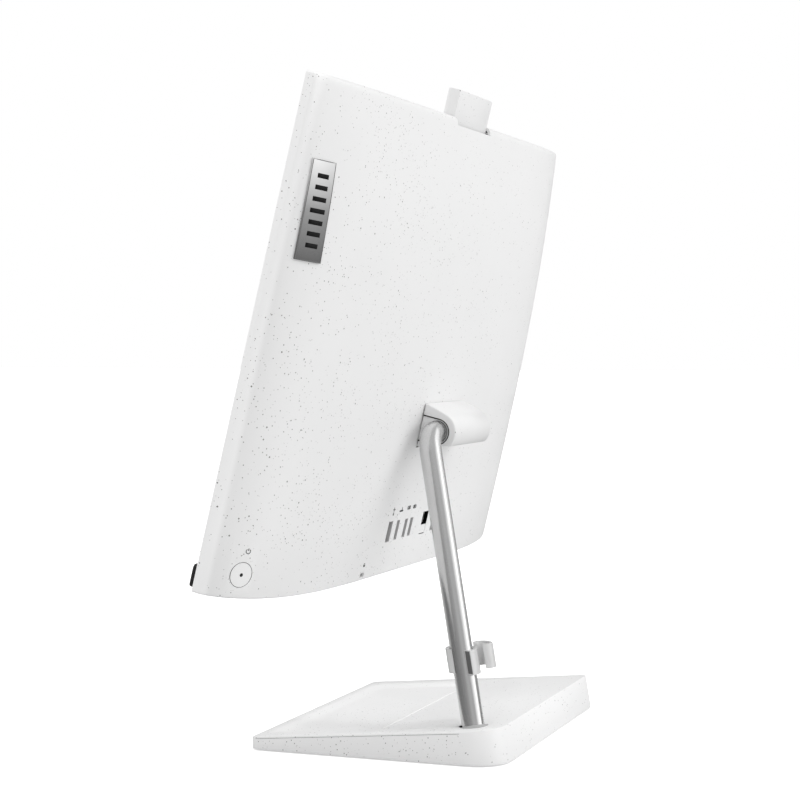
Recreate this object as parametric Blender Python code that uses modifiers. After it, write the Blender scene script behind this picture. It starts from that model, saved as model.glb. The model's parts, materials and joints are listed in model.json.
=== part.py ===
"""All-in-one desktop computer: a tilting display with the computer behind its panel, on a bent tube stand.

Metres, +Z up. The origin is the centre of the base's footprint, on the surface it stands on. +X is along the
screen and +Y points to the rear. Display pieces are placed in the display's own frame, whose X runs along the
screen, Y is the depth from the front plane to the rear, and Z is the height up the display.
"""

import math

import bmesh
import bpy
from mathutils import Matrix, Vector

# Display
DISPLAY_WIDTH = 0.541
DISPLAY_HEIGHT = 0.336
DISPLAY_TILT = math.radians(13.76)
REAR_DEPTH = 0.0475
EDGE_DEPTH = 0.006
DEPTH_FALL = 0.815
DEPTH_POWER = 2.67
SIDE_POWER = 5
WALL = 0.0022
EDGE_ROUND = 0.0028
EDGE_ROWS = 3
GAP = 0.0003
PANEL_WIDTH = 0.5270
PANEL_HEIGHT = 0.2965
CHIN_HEIGHT = 0.032
BEZEL_THICKNESS = 0.0018

# Hinge
HINGE_AXIS = Vector((0.0, 0.018, 0.225))
HINGE_DEPTH = 0.0595
HINGE_HEIGHT = 0.111
HOOD_NEAR = 0.040
HOOD_FAR = -0.0435
HOOD_RADIUS = 0.0150
HOOD_ROOF = 0.0185
HOOD_FLOOR = 0.0145
HOOD_BORE = 0.0099
CAP_RADIUS = 0.0092
SHAFT_RADIUS = 0.005
SHAFT_HOLE = 0.0051

# Stand tube
TUBE_RADIUS = 0.008
TUBE_BORE = 0.0065
TUBE_BEND = 0.019
TUBE_CORNER = Vector((0.0588, 0.018, 0.225))
TUBE_ENTRY = Vector((0.0980, 0.0655, 0.0235))
TUBE_START = 0.027
TUBE_SUNK = 0.0085

# Base
BASE_WIDTH = 0.245
BASE_DEPTH = 0.1866
BASE_FRONT = 0.0094
BASE_REAR = 0.0260
BASE_FLOOR = 0.0012
BASE_LEAN = 0.17
FRONT_CORNER = 0.005
REAR_CORNER = 0.025
FAR_CORNER = 0.0065
TRAY_DROP = 0.0025
TRAY_RIM = 0.013
TRAY_LIP = 0.005
TRAY_SLOPE = 0.0145
TRAY_CREASE = -0.006
TRAY_END = 0.040
TRAY_GROOVE = 0.0007

# Pop-up camera
CAMERA_WIDTH = 0.076
CAMERA_FRONT = 0.0085
CAMERA_REAR = 0.0182
CAMERA_RISE = 0.020
CAMERA_SUNK = 0.018
NOTCH_HEIGHT = 0.3305

# Power button
BUTTON_X = 0.2533
BUTTON_HEIGHT = 0.0166
BUTTON_RADIUS = 0.0081
BUTTON_RING = 0.0004

# Badge plate
BADGE_X = 0.2530
BADGE_HALF = 0.0096
BADGE_LOW = 0.2205
BADGE_HIGH = 0.2843
BADGE_LIFT = 0.0004
BADGE_THICKNESS = 0.0007

# Sockets in the rear cover. Name: (x, opening width, opening height, middle height)
PORT_MIDDLE = 0.0335
PORTS = {
    "usb_port_1": (0.0575, 0.0085, 0.0158, PORT_MIDDLE),
    "usb_port_2": (0.0415, 0.0062, 0.0152, PORT_MIDDLE),
    "usb_port_3": (0.0245, 0.0062, 0.0145, PORT_MIDDLE),
    "usb_port_4": (0.0130, 0.0062, 0.0145, PORT_MIDDLE),
    "lan_port": (-0.0172, 0.0120, 0.0180, 0.0340),
    "hdmi_port": (-0.0380, 0.0062, 0.0155, PORT_MIDDLE),
}
PORT_BOARD_REAR = 0.0256
PORT_BOARD_THICKNESS = 0.0016
PORT_REAR = 0.0444
PORT_SHELL = 0.0008
TONGUE = 0.0009
INLET_X = -0.056
INLET_OPENING = 0.0045
INLET_BORE = 0.0036
INLET_PIN = 0.0009
LOCK_X = 0.094

# Air slots along the bottom and the top
VENT_PLACES = [-0.200 + 0.006 * i for i in range(18)]
VENT_HALF = 0.0015

# Fan
FAN_X = -0.205
FAN_HEIGHT = 0.120
FAN_HALF = 0.033
FAN_CHAMBER = 0.0285
FAN_MOUTH = 0.0200
FAN_HUB = 0.012
FAN_BLADES = 9
FINS = 16

# Cable clip, about the tube: the grip, its flat mouth, and the hook beside it
CLIP_HEIGHT = 0.0678
CLIP_LENGTH = 0.017
GRIP_INNER = 0.0083
GRIP_OUTER = 0.0111
GRIP_MOUTH = 0.0070
HOOK_CENTRE = (-0.0117, 0.0124)
HOOK_INNER = 0.0052
HOOK_OUTER = 0.0069
HOOK_FIRST = 15
HOOK_LAST = 303
HOOK_RAISE = 0.0027
CLIP_SLOPE = (-0.235, -0.246)


# --- tools -------------------------------------------------------------------------------------------------


def new_collection(name):
    made = bpy.data.collections.new(name)
    bpy.context.scene.collection.children.link(made)
    return made


def finish(name, color, roughness, metallic=0.0):
    made = bpy.data.materials.new(name)
    made.use_nodes = True
    shader = made.node_tree.nodes["Principled BSDF"]
    shader.inputs["Base Color"].default_value = (*color, 1.0)
    shader.inputs["Roughness"].default_value = roughness
    shader.inputs["Metallic"].default_value = metallic
    return made


def place(name, mesh, group, location, rotation, parent):
    obj = bpy.data.objects.new(name, mesh)
    obj.location = location
    obj.rotation_euler = rotation
    obj.parent = parent
    group.objects.link(obj)
    return obj


def part(name, mesh, material, location=(0, 0, 0), rotation=(0, 0, 0), parent=None, smooth=None):
    obj = place(name, mesh, parts, location, rotation, parent)
    mesh.materials.clear()
    mesh.materials.append(material)
    if smooth is not None:
        mesh.shade_smooth()
        mesh.set_sharp_from_angle(angle=math.radians(smooth))
    return obj


def cutter(name, mesh, location=(0, 0, 0), rotation=(0, 0, 0), parent=None):
    obj = place(name, mesh, cutters, location, rotation, parent)
    obj.hide_render = True
    obj.display_type = "WIRE"
    return obj


def combine(obj, other, operation):
    change = obj.modifiers.new(other.name, "BOOLEAN")
    change.operation = operation
    change.object = other
    change.solver = "EXACT"


def cut(obj, *others):
    for other in others:
        combine(obj, other, "DIFFERENCE")


def join(obj, *others):
    for other in others:
        combine(obj, other, "UNION")


def soften(obj, width, segments=2, angle=40):
    bevel = obj.modifiers.new("soft_edges", "BEVEL")
    bevel.width = width
    bevel.segments = segments
    bevel.limit_method = "ANGLE"
    bevel.angle_limit = math.radians(angle)


def to_mesh(bm, name):
    mesh = bpy.data.meshes.new(name)
    bm.to_mesh(mesh)
    bm.free()
    return mesh


def block(low, high, name="block"):
    """A box between two corners."""
    low = Vector(low)
    high = Vector(high)
    bm = bmesh.new()
    bmesh.ops.create_cube(bm, size=1.0)
    bmesh.ops.scale(bm, vec=high - low, verts=bm.verts)
    bmesh.ops.translate(bm, vec=(low + high) / 2, verts=bm.verts)
    return to_mesh(bm, name)


def blocks(pairs, name="blocks"):
    """Separate boxes in one mesh, for cutting a row of openings."""
    bm = bmesh.new()
    for low, high in pairs:
        made = bmesh.ops.create_cube(bm, size=1.0)["verts"]
        bmesh.ops.scale(bm, vec=Vector(high) - Vector(low), verts=made)
        bmesh.ops.translate(bm, vec=(Vector(low) + Vector(high)) / 2, verts=made)
    return to_mesh(bm, name)


def turn_to(axis):
    """The rotation that takes +Z to this axis."""
    return Vector(axis).normalized().to_track_quat("Z", "Y").to_matrix().to_4x4()


def rod(radius, start, end, sides=24, name="rod"):
    """A round bar from one point to another."""
    start = Vector(start)
    end = Vector(end)
    bm = bmesh.new()
    bmesh.ops.create_cone(
        bm,
        cap_ends=True,
        segments=sides,
        radius1=radius,
        radius2=radius,
        depth=(end - start).length,
        matrix=Matrix.Translation((start + end) / 2) @ turn_to(end - start),
    )
    return to_mesh(bm, name)


def arc(centre, radius, first, last, steps):
    """Points on an arc, angles in degrees."""
    turns = (math.radians(first + (last - first) * i / steps) for i in range(steps + 1))
    return [(centre[0] + radius * math.cos(a), centre[1] + radius * math.sin(a)) for a in turns]


def rounded(width, depth, front_radius, rear_radius, far_radius=None, steps=5):
    """A rectangle about the origin with round corners. The far corner is the rear one at -X."""
    x = width / 2
    y = depth / 2
    far_radius = far_radius or rear_radius
    points = arc((x - rear_radius, y - rear_radius), rear_radius, 0, 90, steps)
    points += arc((far_radius - x, y - far_radius), far_radius, 90, 180, steps)
    points += arc((front_radius - x, front_radius - y), front_radius, 180, 270, steps)
    points += arc((x - front_radius, front_radius - y), front_radius, 270, 360, steps)
    return points


def curve_mesh(curve, name):
    """The mesh of a curve, its caps welded."""
    guide = bpy.data.objects.new("guide", curve)
    bpy.context.scene.collection.objects.link(guide)
    bpy.context.view_layer.update()
    graph = bpy.context.evaluated_depsgraph_get()
    mesh = bpy.data.meshes.new_from_object(guide.evaluated_get(graph))
    bpy.data.objects.remove(guide)
    bpy.data.curves.remove(curve)
    bm = bmesh.new()
    bm.from_mesh(mesh)
    bpy.data.meshes.remove(mesh)
    bmesh.ops.remove_doubles(bm, verts=bm.verts, dist=1e-6)
    bmesh.ops.recalc_face_normals(bm, faces=bm.faces)
    return to_mesh(bm, name)


def add_spline(curve, points, closed):
    spline = curve.splines.new("POLY")
    spline.points.add(len(points) - 1)
    for point, place_at in zip(spline.points, points):
        point.co = (*place_at, 1.0) if len(place_at) == 3 else (*place_at, 0.0, 1.0)
    spline.use_cyclic_u = closed


def plate(outline, low, high, axis="Z", name="plate"):
    """A flat outline made solid between two levels. Across X the outline is (Y, Z), across Y it is (X, Z)."""
    curve = bpy.data.curves.new(name, "CURVE")
    curve.dimensions = "2D"
    curve.fill_mode = "BOTH"
    curve.extrude = (high - low) / 2
    add_spline(curve, outline, True)
    mesh = curve_mesh(curve, name)
    lift = Matrix.Translation((0, 0, (low + high) / 2))
    turns = {
        "Z": Matrix.Identity(4),
        "X": Matrix(((0, 0, 1, 0), (1, 0, 0, 0), (0, 1, 0, 0), (0, 0, 0, 1))),
        "Y": Matrix(((1, 0, 0, 0), (0, 0, -1, 0), (0, 1, 0, 0), (0, 0, 0, 1))),
    }
    if axis == "Y":
        lift = Matrix.Translation((0, 0, -(low + high) / 2))
    mesh.transform(turns[axis] @ lift)
    return mesh


def sweep(points, radius, resolution, name="tube"):
    """A round bar along a path."""
    curve = bpy.data.curves.new(name, "CURVE")
    curve.dimensions = "3D"
    curve.bevel_depth = radius
    curve.bevel_resolution = resolution
    curve.use_fill_caps = True
    add_spline(curve, points, False)
    return curve_mesh(curve, name)


def turned(profile, sides=24, name="turned"):
    """A profile of (radius, height) points, top to bottom, turned about Z."""
    bm = bmesh.new()
    points = [bm.verts.new((radius, 0.0, height)) for radius, height in profile]
    for one, other in zip(points, points[1:]):
        bm.edges.new((one, other))
    mesh = to_mesh(bm, name)
    spinner = bpy.data.objects.new("spinner", mesh)
    bpy.context.scene.collection.objects.link(spinner)
    screw = spinner.modifiers.new("turn", "SCREW")
    screw.steps = sides
    screw.render_steps = sides
    screw.use_merge_vertices = True
    screw.merge_threshold = 1e-6
    bpy.context.view_layer.update()
    graph = bpy.context.evaluated_depsgraph_get()
    made = bpy.data.meshes.new_from_object(spinner.evaluated_get(graph))
    bpy.data.objects.remove(spinner)
    bpy.data.meshes.remove(mesh)
    return made


# --- display shell -----------------------------------------------------------------------------------------


def middle_depth(height):
    """How far the rear bulges at the middle, at this height."""
    return REAR_DEPTH * math.sqrt(1 - DEPTH_FALL * (height / DISPLAY_HEIGHT) ** DEPTH_POWER)


def rear_depth(x, height):
    """The rear surface's depth behind the front plane."""
    across = min(1.0, abs(x) / (DISPLAY_WIDTH / 2))
    fullness = (1 - across**SIDE_POWER) ** (2 / 3)
    return EDGE_DEPTH + (middle_depth(height) - EDGE_DEPTH) * fullness


def rear_normal(x, height):
    """The outward direction of the rear surface, in the display's frame."""
    step = 1e-5
    slope_x = (rear_depth(x + step, height) - rear_depth(x - step, height)) / (2 * step)
    slope_z = (rear_depth(x, height + step) - rear_depth(x, height - step)) / (2 * step)
    return Vector((-slope_x, 1.0, -slope_z)).normalized()


def edge_fall(height):
    """How far the surface has turned inwards this near the top or bottom edge."""
    short = EDGE_ROUND - min(height, DISPLAY_HEIGHT - height)
    return EDGE_ROUND - math.sqrt(EDGE_ROUND**2 - short**2) if short > 0 else 0.0


def row_height(row, rows):
    """The height of a row of the shell's grid: close together round the two edges and towards the top."""
    turn = math.pi / 2 / EDGE_ROWS
    if row <= EDGE_ROWS:
        return EDGE_ROUND * (1 - math.cos(turn * row))
    if row >= rows - EDGE_ROWS:
        return DISPLAY_HEIGHT - EDGE_ROUND * (1 - math.cos(turn * (rows - row)))
    share = (row - EDGE_ROWS) / (rows - 2 * EDGE_ROWS)
    return EDGE_ROUND + (DISPLAY_HEIGHT - 2 * EDGE_ROUND) * math.sin(share * math.pi / 2)


def shell_surface(closed, columns=32, rows=18):
    """The display's outer surface, open at the front or closed there."""
    bm = bmesh.new()
    bmesh.ops.create_grid(bm, x_segments=columns, y_segments=rows, size=1.0)
    for vert in bm.verts:
        turn = abs(vert.co.x) * math.pi / 2
        side = math.copysign(math.sin(turn) ** (2 / SIDE_POWER), vert.co.x) if turn else 0.0
        height = row_height(round((vert.co.y + 1) / 2 * rows), rows)
        fall = edge_fall(height)
        depth = rear_depth(DISPLAY_WIDTH / 2 * side, height)
        vert.co = ((DISPLAY_WIDTH / 2 - fall) * side, depth - fall, height)
    rim = [edge for edge in bm.edges if edge.is_boundary]
    walls = bmesh.ops.extrude_edge_only(bm, edges=rim)["geom"]
    for vert in [item for item in walls if isinstance(item, bmesh.types.BMVert)]:
        vert.co.y = 0.0
    if closed:
        bmesh.ops.holes_fill(bm, edges=[edge for edge in bm.edges if edge.is_boundary], sides=0)
    bmesh.ops.recalc_face_normals(bm, faces=bm.faces)
    rear = max(bm.faces, key=lambda face: face.calc_center_median().y)
    if rear.normal.y < 0:
        bmesh.ops.reverse_faces(bm, faces=bm.faces)
    return to_mesh(bm, "shell")


def make_rear_cover():
    cover = part("rear_cover", shell_surface(False), white_shell, parent=display, smooth=35)
    skin = cover.modifiers.new("wall", "SOLIDIFY")
    skin.thickness = WALL
    skin.offset = -1.0
    skin.use_even_offset = True
    deep = REAR_DEPTH + 0.01
    half = CAMERA_WIDTH / 2 + 0.0006
    slots = [
        ((x - width / 2, 0.040, middle - height / 2), (x + width / 2, deep, middle + height / 2))
        for x, width, height, middle in PORTS.values()
    ]
    low_vents = [((x - VENT_HALF, 0.012, -0.005), (x + VENT_HALF, 0.036, 0.004)) for x in VENT_PLACES]
    high_vents = [((x - VENT_HALF, 0.009, 0.332), (x + VENT_HALF, 0.016, 0.340)) for x in VENT_PLACES]
    inlet = rod(INLET_OPENING, (INLET_X, 0.03, PORT_MIDDLE), (INLET_X, deep, PORT_MIDDLE))
    lock = block((LOCK_X - 0.0035, 0.03, 0.0035), (LOCK_X + 0.0035, 0.06, 0.0065))
    cut(
        cover,
        cutter("port_openings", blocks(slots), parent=display),
        cutter("inlet_opening", inlet, parent=display),
        cutter("camera_opening", block((-half, 0.0082, NOTCH_HEIGHT), (half, 0.03, 0.35)), parent=display),
        cutter("hinge_opening", block((-0.034, 0.03, 0.098), (0.034, 0.06, 0.124)), parent=display),
        cutter("vent_openings", blocks(low_vents + high_vents), parent=display),
        cutter("lock_opening", lock, parent=display),
        cutter("button_opening", button_rod(BUTTON_RADIUS + BUTTON_RING, -0.02, 0.01), parent=display),
    )


# --- ports -------------------------------------------------------------------------------------------------

def make_plug_port(name, material):
    """A metal-shelled socket with a tongue across it, standing on the port board."""
    x, width, height, middle = PORTS[name]
    half = width / 2 + PORT_SHELL
    tall = height / 2 + PORT_SHELL
    port = part(
        name,
        block((x - half, PORT_BOARD_REAR + GAP, middle - tall), (x + half, PORT_REAR, middle + tall)),
        material,
        parent=display,
    )
    inner = width / 2 - 0.0004
    high = height / 2 - 0.0012
    front = x - TONGUE - 0.0002
    back = x + TONGUE + 0.0002
    gaps = [
        ((x - inner, 0.030, middle - high), (x - TONGUE, 0.05, middle + high)),
        ((x + TONGUE, 0.030, middle - high), (x + inner, 0.05, middle + high)),
        ((front, 0.0415, middle - high), (back, 0.05, middle + high)),
    ]
    for i, (low, high_corner) in enumerate(gaps):
        cut(port, cutter(f"{name}_gap_{i}", block(low, high_corner), parent=display))


def make_lan_port():
    x, _, _, middle = PORTS["lan_port"]
    lan = part(
        "lan_port",
        block((x - 0.0068, PORT_BOARD_REAR + GAP, middle - 0.0098), (x + 0.0068, PORT_REAR, middle + 0.0098)),
        port_plastic,
        parent=display,
    )
    cut(
        lan,
        cutter("lan_cavity", block((x - 0.0055, 0.0285, 0.0330), (x + 0.0055, 0.05, 0.0422)), parent=display),
        cutter("lan_latch", block((x - 0.0062, 0.0350, 0.0360), (x - 0.0050, 0.05, 0.0396)), parent=display),
    )


def make_inlet():
    inlet = part(
        "power_inlet",
        block((INLET_X - 0.007, PORT_BOARD_REAR + GAP, 0.0265), (INLET_X + 0.007, PORT_REAR, 0.0405)),
        black_plastic,
        parent=display,
    )
    bore = rod(INLET_BORE, (INLET_X, 0.030, PORT_MIDDLE), (INLET_X, 0.05, PORT_MIDDLE), 16)
    pin = rod(INLET_PIN, (INLET_X, 0.029, PORT_MIDDLE), (INLET_X, 0.042, PORT_MIDDLE), 8)
    cut(inlet, cutter("inlet_bore", bore, parent=display))
    join(inlet, cutter("inlet_pin", pin, parent=display))


def make_ports():
    for name in PORTS:
        if name != "lan_port":
            make_plug_port(name, steel)
    make_lan_port()
    make_inlet()
    lock = part(
        "lock_slot_plate",
        block((LOCK_X - 0.008, 0.0405, 0.0026), (LOCK_X + 0.008, 0.0425, 0.0110)),
        steel,
        parent=display,
    )
    slot = block((LOCK_X - 0.0032, 0.03, 0.0038), (LOCK_X + 0.0032, 0.06, 0.0062))
    cut(lock, cutter("lock_slot", slot, parent=display))
    part(
        "port_board",
        block((-0.075, PORT_BOARD_REAR - PORT_BOARD_THICKNESS, 0.014), (0.075, PORT_BOARD_REAR, 0.056)),
        circuit_green,
        parent=display,
    )


# --- display front -----------------------------------------------------------------------------------------


def make_front():
    inner = DISPLAY_WIDTH / 2 - WALL - 0.0005
    top = DISPLAY_HEIGHT - WALL - 0.0005
    bezel = part(
        "front_bezel",
        block((-inner, 0.0002, CHIN_HEIGHT + GAP), (inner, 0.0002 + BEZEL_THICKNESS, top)),
        black_plastic,
        parent=display,
    )
    screen_low = CHIN_HEIGHT + 0.0035
    screen_high = screen_low + PANEL_HEIGHT - 0.0015
    window = block((-PANEL_WIDTH / 2, -0.01, screen_low), (PANEL_WIDTH / 2, 0.01, screen_high))
    cut(bezel, cutter("screen_opening", window, parent=display))
    part(
        "chin_panel",
        block((-inner, 0.0002, WALL + 0.0005), (inner, 0.0022, CHIN_HEIGHT)),
        white_shell,
        parent=display,
    )
    half = PANEL_WIDTH / 2 + 0.001
    part(
        "lcd_panel",
        block((-half, 0.0023, CHIN_HEIGHT + 0.0008), (half, 0.0035, top - 0.0008)),
        panel_glass,
        parent=display,
    )
    half = PANEL_WIDTH / 2 - 0.0005
    part(
        "backlight_tray",
        block((-half, 0.0038, CHIN_HEIGHT + 0.0008), (half, 0.0063, top - 0.0015)),
        steel,
        parent=display,
    )
    chassis = part(
        "mid_chassis",
        block((-0.240, 0.0067, 0.026), (0.240, 0.0077, 0.322)),
        steel,
        parent=display,
    )
    holes = [((x - 0.03, 0.0, 0.235), (x + 0.03, 0.02, 0.285)) for x in (-0.18, -0.06, 0.06, 0.18)]
    cut(chassis, cutter("chassis_windows", blocks(holes), parent=display))
    grille = part(
        "speaker_grille",
        plate(rounded(0.5385, 0.0150, 0.0025, 0.0025), -0.0031, -0.0001, "Y"),
        black_plastic,
        location=(0.0, 0.0, 0.0105),
        parent=display,
        smooth=35,
    )
    soften(grille, 0.0014, 3)


# --- electronics -------------------------------------------------------------------------------------------


def make_electronics():
    plain = {
        "main_board": (circuit_green, (-0.170, 0.0110, 0.075), (-0.040, 0.0126, 0.278)),
        "processor": (silicon, (-0.123, 0.0129, 0.172), (-0.087, 0.0144, 0.208)),
        "cold_plate": (copper, (-0.126, 0.0147, 0.169), (-0.084, 0.0177, 0.211)),
        "memory_module_1": (circuit_green, (-0.1550, 0.0135, 0.2140), (-0.0874, 0.0170, 0.2430)),
        "memory_module_2": (circuit_green, (-0.1550, 0.0135, 0.2460), (-0.0874, 0.0170, 0.2750)),
        "solid_state_drive": (circuit_green, (-0.074, 0.0135, 0.085), (-0.052, 0.0165, 0.165)),
        "wireless_card": (circuit_green, (-0.160, 0.0135, 0.085), (-0.138, 0.0158, 0.115)),
        "hard_drive": (aluminium, (0.060, 0.0100, 0.140), (0.130, 0.0170, 0.240)),
        "panel_driver_board": (circuit_green, (0.060, 0.0100, 0.072), (0.130, 0.0116, 0.118)),
    }
    for name, (material, low, high) in plain.items():
        part(name, block(low, high), material, parent=display)
    for name, side in (("left_speaker", 1), ("right_speaker", -1)):
        ends = sorted((side * 0.150, side * 0.232))
        box = block((ends[0], 0.0082, 0.0060), (ends[1], 0.0270, 0.0240))
        box = part(name, box, black_plastic, parent=display)
        soften(box, 0.0015, 1)


def comb(left, right, low, high, fins):
    """The outline of a plate with upright fins."""
    pitch = (right - left) / (fins - 0.5)
    foot = low + 0.002
    points = [(left, low), (right, low)]
    for i in reversed(range(fins)):
        points += [(left + (i + 0.5) * pitch, high), (left + i * pitch, high)]
        if i:
            points += [(left + i * pitch, foot), (left + (i - 0.5) * pitch, foot)]
    return points


def make_cooling():
    centre = Vector((FAN_X, 0.0, FAN_HEIGHT))
    housing = part(
        "fan_housing",
        plate(rounded(2 * FAN_HALF, 2 * FAN_HALF, 0.012, 0.003, steps=3), 0.009, 0.021, "Y"),
        black_plastic,
        location=centre,
        parent=display,
    )
    chamber = rod(FAN_CHAMBER, (0, 0.0102, 0), (0, 0.0198, 0), 32)
    mouth = rod(FAN_MOUTH, (0, 0.0150, 0), (0, 0.0300, 0), 32)
    cut(
        housing,
        cutter("fan_chamber", chamber, centre, parent=display),
        cutter("fan_mouth", mouth, centre, parent=display),
        cutter("fan_outlet", block((-0.024, 0.0102, 0.01), (0.024, 0.0198, 0.05)), centre, parent=display),
    )
    rotor = part(
        "fan_rotor",
        rod(FAN_HUB, (0, -0.0042, 0), (0, 0.0042, 0), 20),
        black_plastic,
        location=centre + Vector((0, 0.0150, 0)),
        parent=display,
    )
    for i in range(FAN_BLADES):
        blade = block((FAN_HUB - 0.002, -0.0040, -0.0005), (FAN_CHAMBER - 0.002, 0.0040, 0.0005))
        turn = (0, 2 * math.pi * i / FAN_BLADES, 0)
        join(rotor, cutter(f"fan_blade_{i}", blade, rotor.location, turn, display))
    fins = comb(-FAN_HALF, FAN_HALF, 0.0090, 0.0205, FINS)
    part(
        "fin_stack",
        plate(fins, 0.0, 0.014, "Z"),
        copper,
        location=(FAN_X, 0.0, FAN_HEIGHT + FAN_HALF + 0.004),
        parent=display,
    )
    start = Vector((-0.105, 0.0211, 0.190))
    rise = start.y + 0.0030
    path = [(start.x + 0.018, start.y, start.z), (start.x - 0.02, start.y, start.z)]
    path += [(x, rise, z) for x, z in arc((FAN_X + 0.062, FAN_HEIGHT + 0.060), 0.022, 60, 130, 4)]
    path += [(FAN_X - FAN_HALF + 0.004, rise, FAN_HEIGHT + FAN_HALF + 0.011)]
    part("heat_pipe", sweep(path, 0.003, 2), copper, parent=display, smooth=50)


# --- hinge -------------------------------------------------------------------------------------------------


def hood_outline():
    """From the shell up over the hinge and down to the shell again, as (depth, height)."""
    points = [(rear_depth(0, HINGE_HEIGHT - HOOD_FLOOR) + GAP, HINGE_HEIGHT - HOOD_FLOOR)]
    points += arc((HINGE_DEPTH, HINGE_HEIGHT), HOOD_RADIUS, -31, 78, 10)
    return points + [(rear_depth(0, HINGE_HEIGHT + HOOD_ROOF) + GAP, HINGE_HEIGHT + HOOD_ROOF)]


def knuckle_outline(radius, depth):
    """A round end about the hinge axis with two flats back to this depth."""
    curve = arc((HINGE_DEPTH, HINGE_HEIGHT), radius, -90, 90, 14)
    return [(depth, HINGE_HEIGHT - radius)] + curve + [(depth, HINGE_HEIGHT + radius)]


def make_hinge():
    hood = plate(hood_outline(), HOOD_FAR, HOOD_NEAR, "X")
    hood = part("hinge_hood", hood, white_shell, parent=display, smooth=35)
    soften(hood, 0.0014, 3)
    cavity = plate(knuckle_outline(HOOD_BORE, 0.03), -0.0385, 0.045, "X")
    cut(hood, cutter("hood_cavity", cavity, parent=display))
    cap_depth = rear_depth(0, HINGE_HEIGHT - CAP_RADIUS) + GAP
    cap = plate(knuckle_outline(CAP_RADIUS, cap_depth), 0.0345, 0.0394, "X")
    cap = part("hinge_end_cap", cap, white_shell, parent=display, smooth=35)
    axis_point = Vector((0.0, HINGE_DEPTH, HINGE_HEIGHT))
    cut(cap, cutter("cap_hole", rod(0.00835, (0.03, 0, 0), (0.045, 0, 0), 28), axis_point, parent=display))

    bracket = part(
        "hinge_bracket",
        block((-0.0335, 0.0380, 0.084), (0.0335, 0.0405, 0.138)),
        steel,
        parent=display,
    )
    for side in (-1, 1):
        legs = sorted((side * 0.0310, side * 0.0335))
        leg = block((legs[0], 0.0080, 0.0845), (legs[1], 0.0390, 0.1375))
        join(bracket, cutter(f"bracket_leg_{side}", leg, parent=display))
        ears = sorted((side * 0.0200, side * 0.0240))
        ear = [(0.0391, HINGE_HEIGHT - 0.0085)] + arc((HINGE_DEPTH, HINGE_HEIGHT), 0.0085, -90, 90, 9)
        ear += [(0.0391, HINGE_HEIGHT + 0.0085)]
        join(bracket, cutter(f"bracket_ear_{side}", plate(ear, ears[0], ears[1], "X"), parent=display))
    bore = rod(SHAFT_HOLE, (-0.04, 0, 0), (0.04, 0, 0))
    cut(bracket, cutter("bracket_bore", bore, axis_point, parent=display))
    screws = [(x, height) for x in (-0.024, 0.024) for height in (0.0895, 0.1325)]
    for number, (x, height) in enumerate(screws, 1):
        hole = rod(0.0023, (x, 0.03, height), (x, 0.05, height), 12)
        cut(bracket, cutter(f"bracket_hole_{number}", hole, parent=display))
        head = [(0.0, 0.0), (0.0035, 0.0), (0.0035, -0.0012)]
        screw = turned(head + [(0.0020, -0.0012), (0.0020, -0.012), (0.0, -0.012)], 12)
        screw.transform(turn_to((0, 1, 0)))
        part(f"hinge_screw_{number}", screw, steel, location=(x, 0.0420, height), parent=display)
    for number, x in enumerate((-0.012, 0.006), 1):
        ring = rod(0.0078, (x, 0, 0), (x + 0.006, 0, 0))
        ring = part(f"friction_band_{number}", ring, steel, axis_point, parent=display)
        hole = rod(SHAFT_HOLE, (x - 0.01, 0, 0), (x + 0.02, 0, 0))
        cut(ring, cutter(f"band_bore_{number}", hole, axis_point, parent=display))
    make_shaft()


def make_shaft():
    """The shaft that the tube carries, thicker where the tube holds it, and the nut at its end."""
    thick = [(0.0, 0.0400), (0.0062, 0.0400), (0.0062, 0.0265)]
    shaft = turned(thick + [(SHAFT_RADIUS, 0.0265), (SHAFT_RADIUS, -0.0330), (0.0, -0.0330)])
    shaft.transform(turn_to((1, 0, 0)))
    part("hinge_shaft", shaft, steel, location=HINGE_AXIS, smooth=35)
    nut = part("shaft_nut", rod(0.0078, (-0.0290, 0, 0), (-0.0250, 0, 0), 6), steel, location=HINGE_AXIS)
    cut(nut, cutter("nut_bore", rod(0.0053, (-0.05, 0, 0), (0.0, 0, 0)), HINGE_AXIS))


# --- camera, button and badge ------------------------------------------------------------------------------


def make_camera():
    half = CAMERA_WIDTH / 2
    low = DISPLAY_HEIGHT - CAMERA_SUNK
    high = DISPLAY_HEIGHT + CAMERA_RISE
    housing = part(
        "camera_housing",
        block((-half, CAMERA_FRONT - 0.0135, low - 0.337), (half, CAMERA_REAR - 0.0135, high - 0.337)),
        white_shell,
        location=(0.0, 0.0135, 0.337),
        parent=display,
        smooth=35,
    )
    soften(housing, 0.0012, 2)
    lens_height = high - 0.010
    pocket = rod(0.0052, (0, 0.0, lens_height), (0, 0.0125, lens_height))
    cut(housing, cutter("lens_pocket", pocket, parent=display))
    lens = rod(0.0049, (0, CAMERA_FRONT + 0.0001, lens_height), (0, 0.0122, lens_height))
    part("camera_lens", lens, panel_glass, parent=display, smooth=35)
    guide = [(-0.0418, 0.290), (0.0418, 0.290), (0.0418, 0.3270), (0.0388, 0.3270), (0.0388, 0.293)]
    guide += [(-0.0388, 0.293), (-0.0388, 0.3270), (-0.0418, 0.3270)]
    part("camera_guide", plate(guide, 0.0082, 0.0180, "Y"), black_plastic, parent=display)


def button_rod(radius, inner, outer):
    """A round bar along the power button's axis, in the display's frame."""
    centre = Vector((BUTTON_X, rear_depth(BUTTON_X, BUTTON_HEIGHT), BUTTON_HEIGHT))
    out = rear_normal(BUTTON_X, BUTTON_HEIGHT)
    return rod(radius, centre + out * inner, centre + out * outer, 32)


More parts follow.
